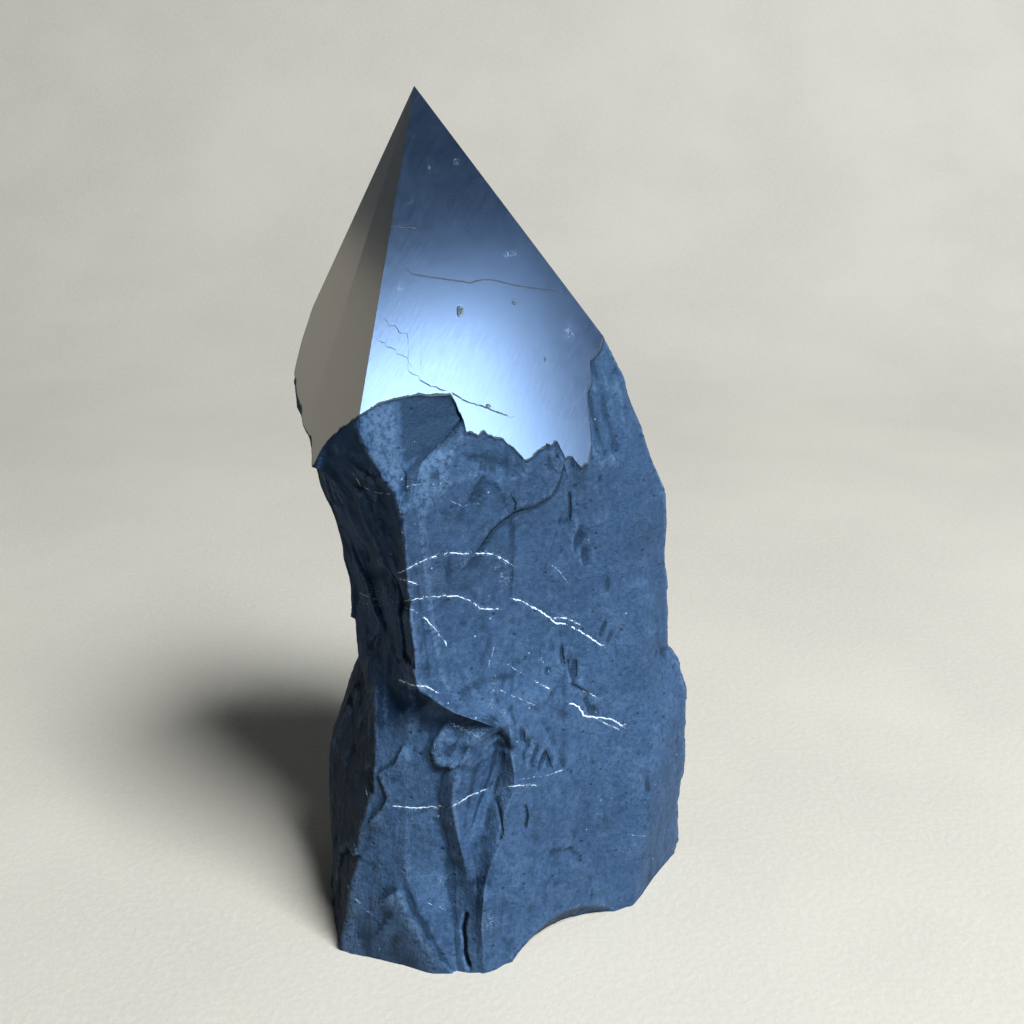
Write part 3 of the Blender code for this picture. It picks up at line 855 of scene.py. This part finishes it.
# %% Veins and cracks
BROAD_VEINS = (
    (((399, 573), (408, 569), (420, 562), (433, 557), (449, 553), (471, 554), (490, 553), (500, 557),
      (512, 565)),
     ((406, 601), (426, 597), (442, 596), (458, 596), (471, 601), (481, 609), (500, 609)),
     ((513, 599), (522, 601), (532, 607)), ((553, 618), (566, 618), (580, 625)),
     ((508, 787), (523, 785), (537, 785)), ((486, 789), (470, 796), (451, 807)),
     ((392, 806), (418, 808), (443, 806)), ((452, 724), (462, 729), (471, 733), (480, 738)),
     ((582, 690), (588, 693), (596, 697)), ((366, 790), (367, 795))),
    (((399, 680), (412, 685), (428, 687), (438, 693)), ((400, 579), (408, 581), (416, 584)),
     ((596, 718), (606, 724), (618, 729)), ((537, 682), (544, 686), (551, 690)),
     ((424, 617), (434, 628), (441, 636), (447, 645))),
)
MAIN_VEINS = (
    (((532, 607), (542, 612), (549, 617), (555, 623), (565, 624), (572, 627), (583, 633), (595, 641),
      (602, 646)),
     ((570, 703), (579, 707), (584, 716), (595, 717), (612, 719), (622, 726))),
)
THIN_VEINS = (
    (((351, 470), (361, 486), (377, 493), (390, 494)), ((406, 487), (420, 484), (440, 485)),
     ((497, 556), (504, 562), (509, 568)), ((406, 608), (413, 610), (420, 615)),
     ((508, 664), (516, 670), (525, 675)), ((600, 607), (610, 608), (619, 612)),
     ((622, 726), (632, 720), (641, 716), (656, 716)), ((632, 835), (643, 836), (655, 835), (674, 818)),
     ((357, 592), (372, 598), (384, 601), (398, 602)), ((345, 880), (352, 895), (366, 910), (382, 922)),
     ((495, 640), (492, 655), (488, 668)), ((428, 760), (436, 744)), ((449, 500), (462, 506), (478, 503))),
    (((541, 659), (544, 663), (549, 672)), ((355, 600), (366, 604), (381, 606)),
     ((640, 722), (652, 724), (668, 716)), ((515, 780), (548, 775), (566, 769)),
     ((500, 690), (520, 699), (538, 707)), ((420, 900), (437, 906), (452, 912)),
     ((610, 560), (622, 548), (634, 541)), ((548, 562), (560, 572), (570, 586))),
)
RAW_CRACKS = (
    (*OPEN_CRACKS,
     ((405, 470), (406, 482), (405, 496)),
     ((524, 509), (514, 513), (503, 521), (492, 530), (485, 541), (479, 549))),
    (((512, 497), (516, 503), (514, 511)), ((609, 576), (608, 584), (610, 592)), ((576, 660), (577, 676)),
     ((546, 752), (552, 768)), ((524, 731), (525, 743)), ((562, 648), (565, 664))),
)
POINT_CRACKS = (
    (((408, 273), (429, 277), (452, 280), (471, 283), (479, 280), (494, 280), (513, 285), (532, 288),
      (563, 292)),
     ((388, 226), (404, 227), (419, 229)),
     ((381, 342), (399, 353), (407, 360), (411, 372), (425, 384), (452, 393), (467, 402), (482, 406),
      (507, 416))),
    (((387, 323), (404, 333), (407, 342), (409, 361)),),
)
FAR_OFF = 50.0
LINE_REACH = 0.9
PAST_ENDS = 3
UNSEEN_FACING = 0.1
FRONT_POLISHED_FACE = 2


def nearest_line(lines, across, down, scale):
    """The signed distance to the nearest of some lines. Past LINE_REACH it grows with its fourth power,
    and past the end of a line PAST_ENDS times the way beyond it is added."""
    found = np.full(across.shape, FAR_OFF)
    for line in lines:
        away, over = from_line(line, across, down, scale)
        steep = np.abs(away) * (1 + (np.abs(away) / LINE_REACH) ** 3) + PAST_ENDS * over
        value = np.sign(away) * np.minimum(steep, FAR_OFF)
        found = np.where(np.abs(value) < np.abs(found), value, found)
    return found


def whole_stone(raw_value, point_value):
    """One number for each vertex: the raw rows, the rows of the point, and the tip."""
    return np.concatenate([raw_value.reshape(-1), point_value.reshape(-1), point_value[-1, :1]])


def keep(name, value):
    """Puts one number for each vertex into the mesh under a name."""
    attribute = mesh.attributes.new(name, "FLOAT", "POINT")
    attribute.data.foreach_set("value", value.astype(np.float32))
    print(name, "from", value.min().round(2), "to", value.max().round(2))


raw_view = seen(raw)
point_view = seen(polish_grid)
unseen = facing(raw) < UNSEEN_FACING
far_point = np.full(polish_grid.shape[:2], FAR_OFF)
elsewhere = np.broadcast_to(point_face != FRONT_POLISHED_FACE, far_point.shape)
for name, sets in (("main vein", MAIN_VEINS), ("broad vein", BROAD_VEINS), ("thin vein", THIN_VEINS)):
    for number, lines in enumerate(sets, 1):
        on_raw = np.where(unseen, FAR_OFF, nearest_line(lines, *raw_view))
        keep(f"{name} {number}", whole_stone(on_raw, far_point))
for number, (raw_lines, point_lines) in enumerate(zip(RAW_CRACKS, POINT_CRACKS), 1):
    on_raw = np.where(unseen, FAR_OFF, nearest_line(raw_lines, *raw_view))
    on_polish = np.where(elsewhere, FAR_OFF, nearest_line(point_lines, *point_view))
    keep(f"crack {number}", whole_stone(on_raw, on_polish))

# %% [markdown]
# Handling rubs the proud edges paler and leaves dust there, and the hollows are darkened as painted shade. A
# vertex is proud where it reaches further than the mean of its neighbours. On the point, the distance to its
# edges and to the limit of the polish says where the thin dark rim and the small chips of the grinding are.
# A few smears and pits on the large polished face, and scuffs on the raw front, are placed as soft round
# spots.

# %% Wear and painted shade
NEIGHBOURS = 3
PROUD_FULL = 0.25
FAR_FROM_RIDGE = 9.0
# Each spot is its place, its half width and half height and its strength
SMEARS = (
    (457, 162, 0.8, 0.6, 0.7), (402, 287, 0.9, 1.2, 0.5), (569, 332, 1.3, 2.0, 0.5),
    (510, 254, 1.8, 0.5, 0.8), (429, 167, 0.5, 0.7, 0.5), (455, 226, 0.6, 0.8, 0.4),
    (500, 222, 0.5, 0.8, 0.4), (410, 203, 0.8, 0.5, 0.5), (531, 252, 0.5, 0.9, 0.4),
    (392, 250, 1.6, 3.2, 0.25), (438, 250, 2.6, 3.0, 0.2), (581, 372, 0.6, 0.8, 0.4),
)
SCUFFS = (
    (613, 526, 1.2, 1.0, 0.8), (632, 530, 1.5, 0.8, 0.7), (619, 400, 0.8, 2.6, 0.8),
    (623, 460, 0.7, 2.0, 0.7), (490, 922, 1.8, 1.6, 0.7), (504, 579, 1.0, 0.9, 1.0),
    (498, 567, 0.8, 0.5, 0.8), (441, 483, 0.5, 0.5, 1.0), (494, 689, 0.6, 2.6, 0.8),
    (491, 706, 0.4, 0.5, 1.0), (503, 713, 0.5, 0.4, 1.0), (549, 689, 0.4, 0.4, 1.0),
    (380, 902, 0.5, 0.5, 1.0), (354, 865, 0.5, 0.4, 1.0), (356, 912, 1.0, 0.7, 0.6),
    (368, 922, 0.8, 0.5, 0.7), (385, 932, 1.0, 0.5, 0.6), (400, 946, 0.9, 0.5, 0.6),
    (372, 598, 3.2, 1.5, 0.7), (374, 690, 1.6, 1.0, 0.6), (409, 628, 0.8, 2.4, 0.4),
    (412, 665, 0.9, 3.0, 0.4), (645, 512, 0.8, 0.8, 0.7), (596, 712, 1.0, 0.7, 0.6),
    (505, 830, 0.8, 2.2, 0.4), (441, 880, 0.7, 0.9, 0.4), (467, 727, 1.2, 0.7, 0.6),
    (372, 476, 2.2, 1.2, 0.5),
)
POINT_PITS = (
    (460, 311, 0.7, 1.2, 1.0), (515, 302, 0.8, 0.6, 0.9), (488, 407, 0.7, 0.6, 0.9),
    (545, 360, 0.6, 0.6, 0.8),
)


def spread_out(value, neighbours):
    """The mean of a value over the neighbours, first over rows and then over columns, which join up."""
    count = 2 * neighbours + 1
    padded = np.pad(value, ((neighbours, neighbours), (0, 0)), mode="edge")
    by_row = sum(padded[shift:shift + len(value)] for shift in range(count)) / count
    return sum(np.roll(by_row, shift, 1) for shift in range(-neighbours, neighbours + 1)) / count


def spots(marks, across, down, scale):
    """Soft round spots with the section of a bell curve, each with a half width and half height in mm."""
    total = np.zeros(across.shape)
    for x, y, half_width, half_height, strength in marks:
        inside = ((across - x) / scale / half_width) ** 2 + ((down - y) / scale / half_height) ** 2
        total += strength * np.exp(-inside)
    return total


def ridge_distance(place):
    """Distance in mm to the nearest edge of the point: the length of the part across each edge's line."""
    found = np.full(place.shape[:-1], np.inf)
    for corner in POINT_EDGES:
        line = (corner - APEX) / np.linalg.norm(corner - APEX)
        arm = place - APEX
        aside = arm - (arm @ line)[..., None] * line
        found = np.minimum(found, np.linalg.norm(aside, axis=-1))
    return found


no_point = np.zeros(far_point.shape)
proud = reach - spread_out(reach, NEIGHBOURS)
keep("calm", whole_stone(calm, no_point))
# The left side, which is rougher and whose colour is darkened as painted shade
keep("shaded_flank", whole_stone(shaded_left_flank(), no_point))
# How far each vertex stands out: proud edges are rubbed paler, and hollows are darkened as painted shade
keep("proud", whole_stone(np.clip(proud / PROUD_FULL, -1, 1), no_point))
keep("to ridge", whole_stone(np.full(height.shape, FAR_FROM_RIDGE), ridge_distance(polish_grid)))
down_face = np.linalg.norm(polish_grid - limit_places, axis=-1)
keep("to limit", whole_stone(tops - height, down_face))
scuffs = np.where(unseen, 0, spots(SCUFFS, *raw_view))
keep("smear", whole_stone(scuffs, np.where(elsewhere, 0, spots(SMEARS, *point_view))))
keep("pit", whole_stone(np.zeros(height.shape), np.where(elsewhere, 0, spots(POINT_PITS, *point_view))))

# %% [markdown]
# ## Shader maths in Python
#
# A material is a network of small sums, which is easier to read as expressions. A `Wire` is the output of
# a node. Adding or multiplying wires makes the Math node for it, or the Vector Math node for places and
# colours. `eased` makes a mask of a number with a smooth step, which is a Map Range node. A `Finish` is one
# material, and its `make` adds any other node.

# %% Wires
ASLANT = (0.2, -0.9, 0.4)


class Wire:
    """An output of a node, with the operators that are used on it."""

    def __init__(self, finish, socket):
        self.finish = finish
        self.socket = socket

    def work(self, operation, first, second):
        """The Math node of two values, or the Vector Math node where either is a vector or a colour."""
        kinds = {value.socket.type for value in (first, second) if isinstance(value, Wire)}
        if kinds & {"VECTOR", "RGBA"}:
            first, second = (v if isinstance(v, (Wire, tuple)) else (v, v, v) for v in (first, second))
            return self.finish.make("ShaderNodeVectorMath", {"operation": operation}, {0: first, 1: second})
        return self.finish.make("ShaderNodeMath", {"operation": operation}, {0: first, 1: second})

    def __add__(self, other):
        return self.work("ADD", self, other)

    def __radd__(self, other):
        return self.work("ADD", other, self)

    def __sub__(self, other):
        return self.work("SUBTRACT", self, other)

    def __rsub__(self, other):
        return self.work("SUBTRACT", other, self)

    def __mul__(self, other):
        return self.work("MULTIPLY", self, other)

    def __rmul__(self, other):
        return self.work("MULTIPLY", other, self)

    def __truediv__(self, other):
        return self.work("DIVIDE", self, other)

    def __abs__(self):
        return self.finish.make("ShaderNodeMath", {"operation": "ABSOLUTE"}, {0: self})

    def larger(self, other):
        """The larger of two values."""
        return self.work("MAXIMUM", self, other)

    def smaller(self, other):
        """The smaller of two values."""
        return self.work("MINIMUM", self, other)

    def along(self, direction):
        """How far a place lies along a direction."""
        values = {0: self, 1: direction}
        return self.finish.make("ShaderNodeVectorMath", {"operation": "DOT_PRODUCT"}, values, "Value")

    def eased(self, low, high, first=0.0, last=1.0):
        """`first` below low, `last` above high and a smooth step between; high may be the smaller."""
        values = {"Value": self, "From Min": low, "From Max": high, "To Min": first, "To Max": last}
        return self.finish.make("ShaderNodeMapRange", {"interpolation_type": "SMOOTHSTEP"}, values)

    def other(self, name):
        """Another output of the same node."""
        return Wire(self.finish, self.socket.node.outputs[name])


class Finish:
    """A material on a Principled shader. `place` is the place on the stone in mm."""

    def __init__(self, name):
        self.material = bpy.data.materials.new(name)
        self.material.use_nodes = True
        self.tree = self.material.node_tree
        self.surface = self.tree.nodes["Principled BSDF"]
        self.place = self.make("ShaderNodeTexCoord", output="Object") * (1 / MM)

    def make(self, kind, settings=None, values=None, output=0):
        """A node of a kind, with its settings first and then the numbers or wires of its inputs."""
        node = self.tree.nodes.new(kind)
        for name, value in (settings or {}).items():
            setattr(node, name, value)
        for name, value in (values or {}).items():
            self.plug(node.inputs[name], value)
        return Wire(self, node.outputs[output])

    def plug(self, socket, value):
        """Links a wire to an input, or sets the input to a number, a place or a colour."""
        if isinstance(value, Wire):
            self.tree.links.new(value.socket, socket)
        elif socket.type == "RGBA":
            socket.default_value = (*value, 1.0)
        else:
            socket.default_value = value

    def noise(self, place, width, detail=3.0, roughness=0.55):
        """Noise from 0 to 1 whose lumps are about `width` mm across."""
        values = {"Vector": place, "Scale": 1 / width, "Detail": detail, "Roughness": roughness}
        return self.make("ShaderNodeTexNoise", {"noise_dimensions": "3D"}, values)

    def cells(self, place, width):
        """The distance to the nearest of scattered points, in cell widths; its Color is random by cell."""
        return self.make("ShaderNodeTexVoronoi", {"feature": "F1"}, {"Vector": place, "Scale": 1 / width})

    def kept(self, name):
        """A number that the mesh keeps at its vertices."""
        return self.make("ShaderNodeAttribute", {"attribute_name": name}, output="Fac")

    def chips(self, place, width):
        """Small flat facets: how far a place lies along a tilt that is random by cell, in mm."""
        cell = self.cells(place, width)
        return (place - cell.other("Position")).along(cell.other("Color") - 0.5)

    def mixed(self, share, first, last):
        """A colour between two, by a share."""
        return self.make("ShaderNodeMix", {"data_type": "RGBA"}, {0: share, 6: first, 7: last}, 2)

    def painted(self, colour, layers):
        """A colour with layers over it, each given as its share and its own colour, the lowest first."""
        for share, over in layers:
            colour = self.mixed(share, colour, over)
        return colour

    def stretched(self, axis, length, width):
        """The place in a frame whose first axis is `axis`: how far it lies along each axis, divided by a
        length for the first and by a width for the two across it."""
        first = Vector(axis).normalized()
        second = first.cross(Vector(ASLANT)).normalized()
        lines = ((first, length), (second, width), (first.cross(second), width))
        parts = [self.place.along(tuple(line)) / size for line, size in lines]
        return self.make("ShaderNodeCombineXYZ", values=dict(enumerate(parts)))

    def dress(self, values, height):
        """Feeds the shader, and turns a height in mm into a Bump."""
        bump = self.make("ShaderNodeBump", values={"Strength": 1.0, "Distance": MM, "Height": height})
        for name, value in (*values.items(), ("Normal", bump)):
            self.plug(self.surface.inputs[name], value)
        print(self.material.name, "has", len(self.tree.nodes), "nodes")


# %% [markdown]
# ## Raw shungite
#
# A broken face is a dull slate blue black. It has cloudy patches, fine grain, upright streaks left by the
# layers, tiny pits where grains of pyrite fell out, and sparse pale specks. White veins of quartz and
# calcite cross it in broken lines. Proud edges are paler, and hollows are darker as painted shade. The left
# side is darkened nearly to black as painted shade, darkest at its foot, and the shoulder is a shade darker
# than the foot. Each of these is a mask from 0 to 1, and the colour is built up from them in layers, as a
# painter would.

# %% Lines and specks
LINE_CORE = 0.3
SPECK_CORE = 0.4
SPECK_STEP = 0.01


def line_of(finish, names, width, wobble):
    """1 on the lines kept under some names and 0 off them, with a width in mm that wavers."""
    bend = (finish.noise(finish.place, 0.9, 2.0) - 0.5) * wobble
    found = None
    for name in names:
        on_line = abs(finish.kept(name) + bend).eased(width * LINE_CORE, width, 1.0, 0.0)
        found = on_line if found is None else found.larger(on_line)
    return found


def specks(finish, width, size, share):
    """Round specks at some of the scattered points: a cell holds one where its random colour is high."""
    cell = finish.cells(finish.place, width)
    chosen = cell.other("Color").along((1.0, 0.0, 0.0)).eased(1 - share, 1 - share + SPECK_STEP)
    return cell.eased(size / width, SPECK_CORE * size / width, 0.0, 1.0) * chosen


def white_veins(finish, broken):
    """Main, broad and thin veins in one mask. Each is crossed with a noise that breaks it up, least where
    the vein is widest."""
    broad = line_of(finish, ("broad vein 1", "broad vein 2"), 0.145, 0.60) * broken.eased(0.40, 0.58)
    thin = line_of(finish, ("thin vein 1", "thin vein 2"), 0.10, 0.60) * broken.eased(0.46, 0.62)
    main = line_of(finish, ("main vein 1",), 0.22, 0.70) * broken.eased(0.32, 0.46)
    return (main + broad + thin * 0.55).smaller(1.0)


# %% Raw stone
UPRIGHT_GRAIN = (0.10, 0.05, 1.0)
PATCH_SHIFT = (31.0, 7.0, 3.0)
LEDGE_TO_SHOULDER = (62.0, 84.0)
FLANK_SHADE_RISE = (38.0, 60.0)
# The colours of the layers, the lowest first
SLATE_DARK = (0.0170, 0.0365, 0.0730)
SLATE = (0.0250, 0.0510, 0.0990)
SLATE_PATCH = (0.038, 0.070, 0.125)
LAYER_STREAK = (0.009, 0.021, 0.046)
GRAIN_SHADE = (0.007, 0.017, 0.036)
GRAIN_LIGHT = (0.060, 0.098, 0.155)
SHOULDER_SHADE = (0.006, 0.014, 0.030)
# Painted shade for the left side, near black at its foot and a little lighter higher up
FLANK_FOOT_PAINTED_SHADE = (0.001, 0.002, 0.005)
FLANK_TOP_PAINTED_SHADE = (0.004, 0.019, 0.054)
RUBBED_EDGE = (0.070, 0.110, 0.170)
HOLLOW_PAINTED_SHADE = (0.003, 0.009, 0.020)
PIT_SHADE = (0.004, 0.011, 0.024)
POWDER = (0.14, 0.18, 0.23)
PALE_DUST = (0.34, 0.40, 0.48)
QUARTZ_WHITE = (0.58, 0.66, 0.76)
CRACK_BLACK = (0.001, 0.003, 0.007)


def raw_finish():
    """The broken stone: layers of colour by mask, and a height in mm that sums grain, chips and veins and
    takes off pits and cracks."""
    finish = Finish("raw shungite")
    place = finish.place
    cloud = finish.noise(place, 16.0, 3.0, 0.6)
    patch = finish.noise(place + PATCH_SHIFT, 5.0, 3.0, 0.62)
    grain = finish.noise(place, 1.0, 3.0, 0.72)
    fine = finish.noise(place, 0.34, 2.0, 0.7)
    streak = finish.noise(finish.stretched(UPRIGHT_GRAIN, 7.0, 0.9), 1.0, 3.0, 0.65)
    broken = finish.noise(place, 1.1, 2.0, 0.75)
    rugged = finish.kept("calm").eased(1.0, 0.0, 0.10, 0.28)
    facets = finish.chips(place + (patch - 0.5) * 3.0, 2.6)
    proud = finish.kept("proud")
    pits = specks(finish, 1.9, 0.45, 0.22) + specks(finish, 4.3, 0.75, 0.12)
    pale = specks(finish, 2.4, 0.21, 0.22) + specks(finish, 5.5, 0.36, 0.16) * grain.eased(0.45, 0.6)
    powder = fine.eased(0.60, 0.72) * patch.eased(0.48, 0.66)
    veins = white_veins(finish, broken)
    scuff = finish.kept("smear") * fine.eased(0.52, 0.68) * 0.8
    halo = line_of(finish, ("broad vein 1", "broad vein 2"), 0.8, 1.2) * fine.eased(0.52, 0.66)
    cracks = line_of(finish, ("crack 1", "crack 2"), 0.22, 0.3) * broken.eased(0.30, 0.42)
    seam = (finish.kept("to limit") + (grain - 0.5) * 0.8).eased(0.55, 0.15, 0.0, 1.0)
    rise = place.along((0.0, 0.0, 1.0))
    shaded_flank = finish.kept("shaded_flank")
    colour = finish.painted(finish.mixed(cloud.eased(0.3, 0.7), SLATE_DARK, SLATE), (
        (patch.eased(0.42, 0.72) * 0.6, SLATE_PATCH),
        (streak.eased(0.52, 0.72) * 0.30, LAYER_STREAK),
        (grain.eased(0.52, 0.36) * 0.45, GRAIN_SHADE),
        (grain.eased(0.56, 0.70) * 0.30, GRAIN_LIGHT),
        (rise.eased(*LEDGE_TO_SHOULDER) * 0.28, SHOULDER_SHADE),
        # The left side darkened as painted shade, a little less along the upright streaks
        (shaded_flank * (0.95 - streak * 0.30), finish.mixed(rise.eased(*FLANK_SHADE_RISE), FLANK_FOOT_PAINTED_SHADE, FLANK_TOP_PAINTED_SHADE)),
        (proud.eased(0.05, 0.9) * grain.eased(0.35, 0.6) * 0.45, RUBBED_EDGE),
        # Hollows darkened as painted shade
        (proud.eased(-0.08, -0.65) * 0.75, HOLLOW_PAINTED_SHADE),
        (pits.smaller(1.0) * 0.6, PIT_SHADE),
        (powder * 0.28, POWDER),
        ((pale + halo * 0.35 + scuff).smaller(1.0) * 0.65, PALE_DUST),
        (veins * 0.85, QUARTZ_WHITE),
        ((cracks + seam * 0.8).smaller(1.0) * 0.9, CRACK_BLACK),
    ))
    rough = 0.48 + cloud * 0.12 + grain * 0.16 + shaded_flank * 0.2
    relief = grain * 0.24 + patch * 0.30 + streak * 0.22 + fine * 0.07 + facets * rugged
    relief = relief - pits * 0.16 + veins * 0.05 - cracks * 0.30
    values = {"Base Color": colour, "Roughness": rough, "IOR": 1.4, "Specular Tint": (0.42, 0.70, 1.0)}
    finish.dress(values, relief)
    return finish.material


raw_stone = raw_finish()

# %% [markdown]
# ## Polished shungite
#
# Ground and polished, the same stone turns nearly black and mirrors its surroundings softly, like satin:
# it holds carbon, so it reflects more than glass does. The polishing wheel left fine slanting strokes.
# Hairline cracks and a few pits stayed open, and fingers left pale smears. The last fraction of a mm before
# the raw stone is chipped and dull, and a thin darker line runs down each edge of the point.

# %% Polished stone
STROKES = (0.45, 0.52, 0.72)
POLISH_DARK = (0.001, 0.004, 0.011)
POLISH = (0.002, 0.006, 0.015)
POLISH_MOTTLE = (0.006, 0.012, 0.022)
SMEAR_GREY = (0.16, 0.22, 0.30)
DOT_GREY = (0.16, 0.21, 0.28)
OPEN_BLACK = (0.001, 0.003, 0.006)


def polished_finish():
    """The ground faces: nearly black in faint clouds, smooth along the strokes, and rough and black where
    cracks, pits and the ragged limit leave them open."""
    finish = Finish("polished shungite")
    place = finish.place
    cloud = finish.noise(place, 11.0, 3.0, 0.6)
    mottle = finish.noise(place, 2.4, 3.0, 0.65)
    fine = finish.noise(place, 0.5, 2.0, 0.6)
    strokes = finish.noise(finish.stretched(STROKES, 3.2, 0.55), 1.0, 3.0, 0.6)
    hairs = finish.noise(finish.stretched(STROKES, 14.0, 0.16), 1.0, 2.0, 0.5)
    cracks = line_of(finish, ("crack 1", "crack 2"), 0.15, 0.26)
    pits = finish.kept("pit").eased(0.45, 0.8) * fine.eased(0.38, 0.5)
    smear = finish.kept("smear").eased(0.15, 0.6) * fine.eased(0.46, 0.60)
    dots = specks(finish, 5.2, 0.22, 0.22)
    ridge = finish.kept("to ridge") + (fine - 0.5) * 0.5 + (mottle - 0.5) * 0.5
    limit = finish.kept("to limit") + (mottle - 0.5) * 0.9 + (fine - 0.5) * 0.4
    ragged = limit.eased(0.30, 0.12, 0.0, 1.0)
    opened = (cracks + ragged + pits).smaller(1.0)
    colour = finish.painted(finish.mixed(cloud.eased(0.35, 0.7), POLISH_DARK, POLISH), (
        (mottle.eased(0.5, 0.75) * 0.5, POLISH_MOTTLE),
        (smear * 0.35, SMEAR_GREY),
        (dots * 0.5, DOT_GREY),
        (ridge.eased(0.26, 0.10, 0.0, 1.0) * 0.8, OPEN_BLACK),
        (opened * 0.9, OPEN_BLACK),
    ))
    rough = 0.11 + cloud * 0.03 + mottle * 0.03 + strokes * 0.06 + smear * 0.12 + opened * 0.65
    relief = strokes * 0.0030 + hairs * 0.0004 + mottle * 0.0020
    relief = relief - cracks * 0.10 - pits * 0.08 - ragged * 0.12
    values = {"Base Color": colour, "Roughness": rough, "IOR": 2.0, "Specular Tint": (0.78, 0.92, 1.0)}
    finish.dress(values, relief)
    return finish.material


polished_stone = polished_finish()
mesh.materials.append(raw_stone)
mesh.materials.append(polished_stone)
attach(stone, "root")
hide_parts("shungite_rock")

# %% [markdown]
# ## The studio
#
# The stone stands on plain pale paper that curves up behind it, so there is no horizon. The paper is one
# profile, flat and then a quarter circle and then straight up, drawn out sideways.

# %% Floor
FLOOR_HALF = 1.3
FLOOR_FRONT = -0.7
FLOOR_BACK = 0.30
FLOOR_BEND = 0.35
FLOOR_TOP = 1.2
FLOOR_STEPS = 64
PAPER_SHADE = (0.31, 0.275, 0.23)
PAPER = (0.34, 0.30, 0.25)
PAPER_TOOTH = (0.38, 0.34, 0.29)


def paper_profile(run):
    """Depth and height of the sheet by the way along it: level up to the bend, then by the sine and the
    cosine round it, then straight up."""
    turned = np.clip((run - FLOOR_BACK) / FLOOR_BEND, 0, math.pi / 2)
    depth = np.where(run < FLOOR_BACK, run, FLOOR_BACK + FLOOR_BEND * np.sin(turned))
    rise = np.where(run < FLOOR_BACK, 0, FLOOR_BEND * (1 - np.cos(turned)))
    return depth, rise + np.maximum(run - FLOOR_BACK - FLOOR_BEND * math.pi / 2, 0)


def paper_sheet():
    """The profile drawn out sideways: one row of points at each side, and a face between each two steps."""
    run = np.linspace(FLOOR_FRONT, FLOOR_TOP, FLOOR_STEPS)
    depth, rise = paper_profile(run)
    side = np.array([-FLOOR_HALF, FLOOR_HALF])[:, None]
    sheet = np.stack(np.broadcast_arrays(side, depth, rise), -1).reshape(-1, 3)
    step = np.arange(FLOOR_STEPS - 1)
    faces = np.stack([step, step + FLOOR_STEPS, step + FLOOR_STEPS + 1, step + 1], -1)
    data = bpy.data.meshes.new("floor")
    data.from_pydata(sheet.tolist(), [], faces.tolist())
    data.shade_smooth()
    return data


def paper_finish():
    """Matt pale paper with a faint cloud and a fine tooth, which is also its relief."""
    finish = Finish("pale paper")
    cloud = finish.noise(finish.place, 90.0, 3.0)
    tooth = finish.noise(finish.place, 1.4, 3.0, 0.6)
    colour = finish.mixed(cloud.eased(0.3, 0.7), PAPER_SHADE, PAPER)
    colour = finish.mixed(tooth.eased(0.4, 0.7) * 0.25, colour, PAPER_TOOTH)
    finish.dress({"Base Color": colour, "Roughness": 0.85 + tooth * 0.1, "IOR": 1.35}, tooth * 0.15)
    return finish.material


floor = bpy.data.objects.new("floor", paper_sheet())
floor.data.materials.append(paper_finish())
bpy.context.scene.collection.objects.link(floor)
floor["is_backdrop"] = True

# %% [markdown]
# ## Light
#
# The front polished face mirrors what stands low on the right, and the mirrored way climbs towards the
# tip. So a small cool panel stands there, with a larger and fainter one just behind it: the lower half of
# the face mirrors them, bright in the middle and softer round it, and the tip mirrors neither. A strong
# soft box, high up, lights the broken front and throws the shadow to the left. A warm card behind on the
# left is what the narrow polished faces mirror. Each is placed by its direction and its distance.

# %% Panels
AIM = Vector((0, 0, 0.11))
SKY_COLOUR = (0.30, 0.58, 1.0, 1.0)
SKY_STRENGTH = 0.08


def panel(name, turn, climb, distance, size, power, colour):
    """A flat light that faces the foot of the point, from a turn (degrees from +X) and a climb: the level
    part of its direction is the cosine of the climb, and the upright part the sine."""
    data = bpy.data.lights.new(name, "AREA")
    data.shape = "RECTANGLE"
    data.size, data.size_y = size
    data.energy = power
    data.color = colour
    turn = math.radians(turn)
    climb = math.radians(climb)
    level = math.cos(climb)
    way = Vector((math.cos(turn) * level, math.sin(turn) * level, math.sin(climb)))
    lamp = bpy.data.objects.new(name, data)
    lamp.location = way * distance + AIM
    lamp.rotation_euler = (-way).to_track_quat("-Z", "Y").to_euler()
    bpy.context.scene.collection.objects.link(lamp)
    print(name, "at", [round(part, 2) for part in lamp.location])


panel("window", -30.5, 7.5, 1.3, (0.22, 0.40), 4.3, (0.52, 0.68, 0.98))
panel("window surround", -30.5, 8.5, 1.35, (0.36, 0.49), 3.1, (0.40, 0.58, 1.0))
panel("soft box", -46, 52, 1.2, (0.45, 0.4), 51.0, (0.84, 0.93, 1.0))
panel("warm card", 147, 1.5, 0.9, (0.6, 0.22), 0.37, (1.0, 0.835, 0.62))
world = bpy.data.worlds.new("studio")
bpy.context.scene.world = world
world.use_nodes = True
sky = world.node_tree.nodes["Background"]
sky.inputs["Color"].default_value = SKY_COLOUR
sky.inputs["Strength"].default_value = SKY_STRENGTH
bpy.context.scene.view_settings.view_transform = "Standard"

# %% Update the scene
bpy.context.view_layer.update()
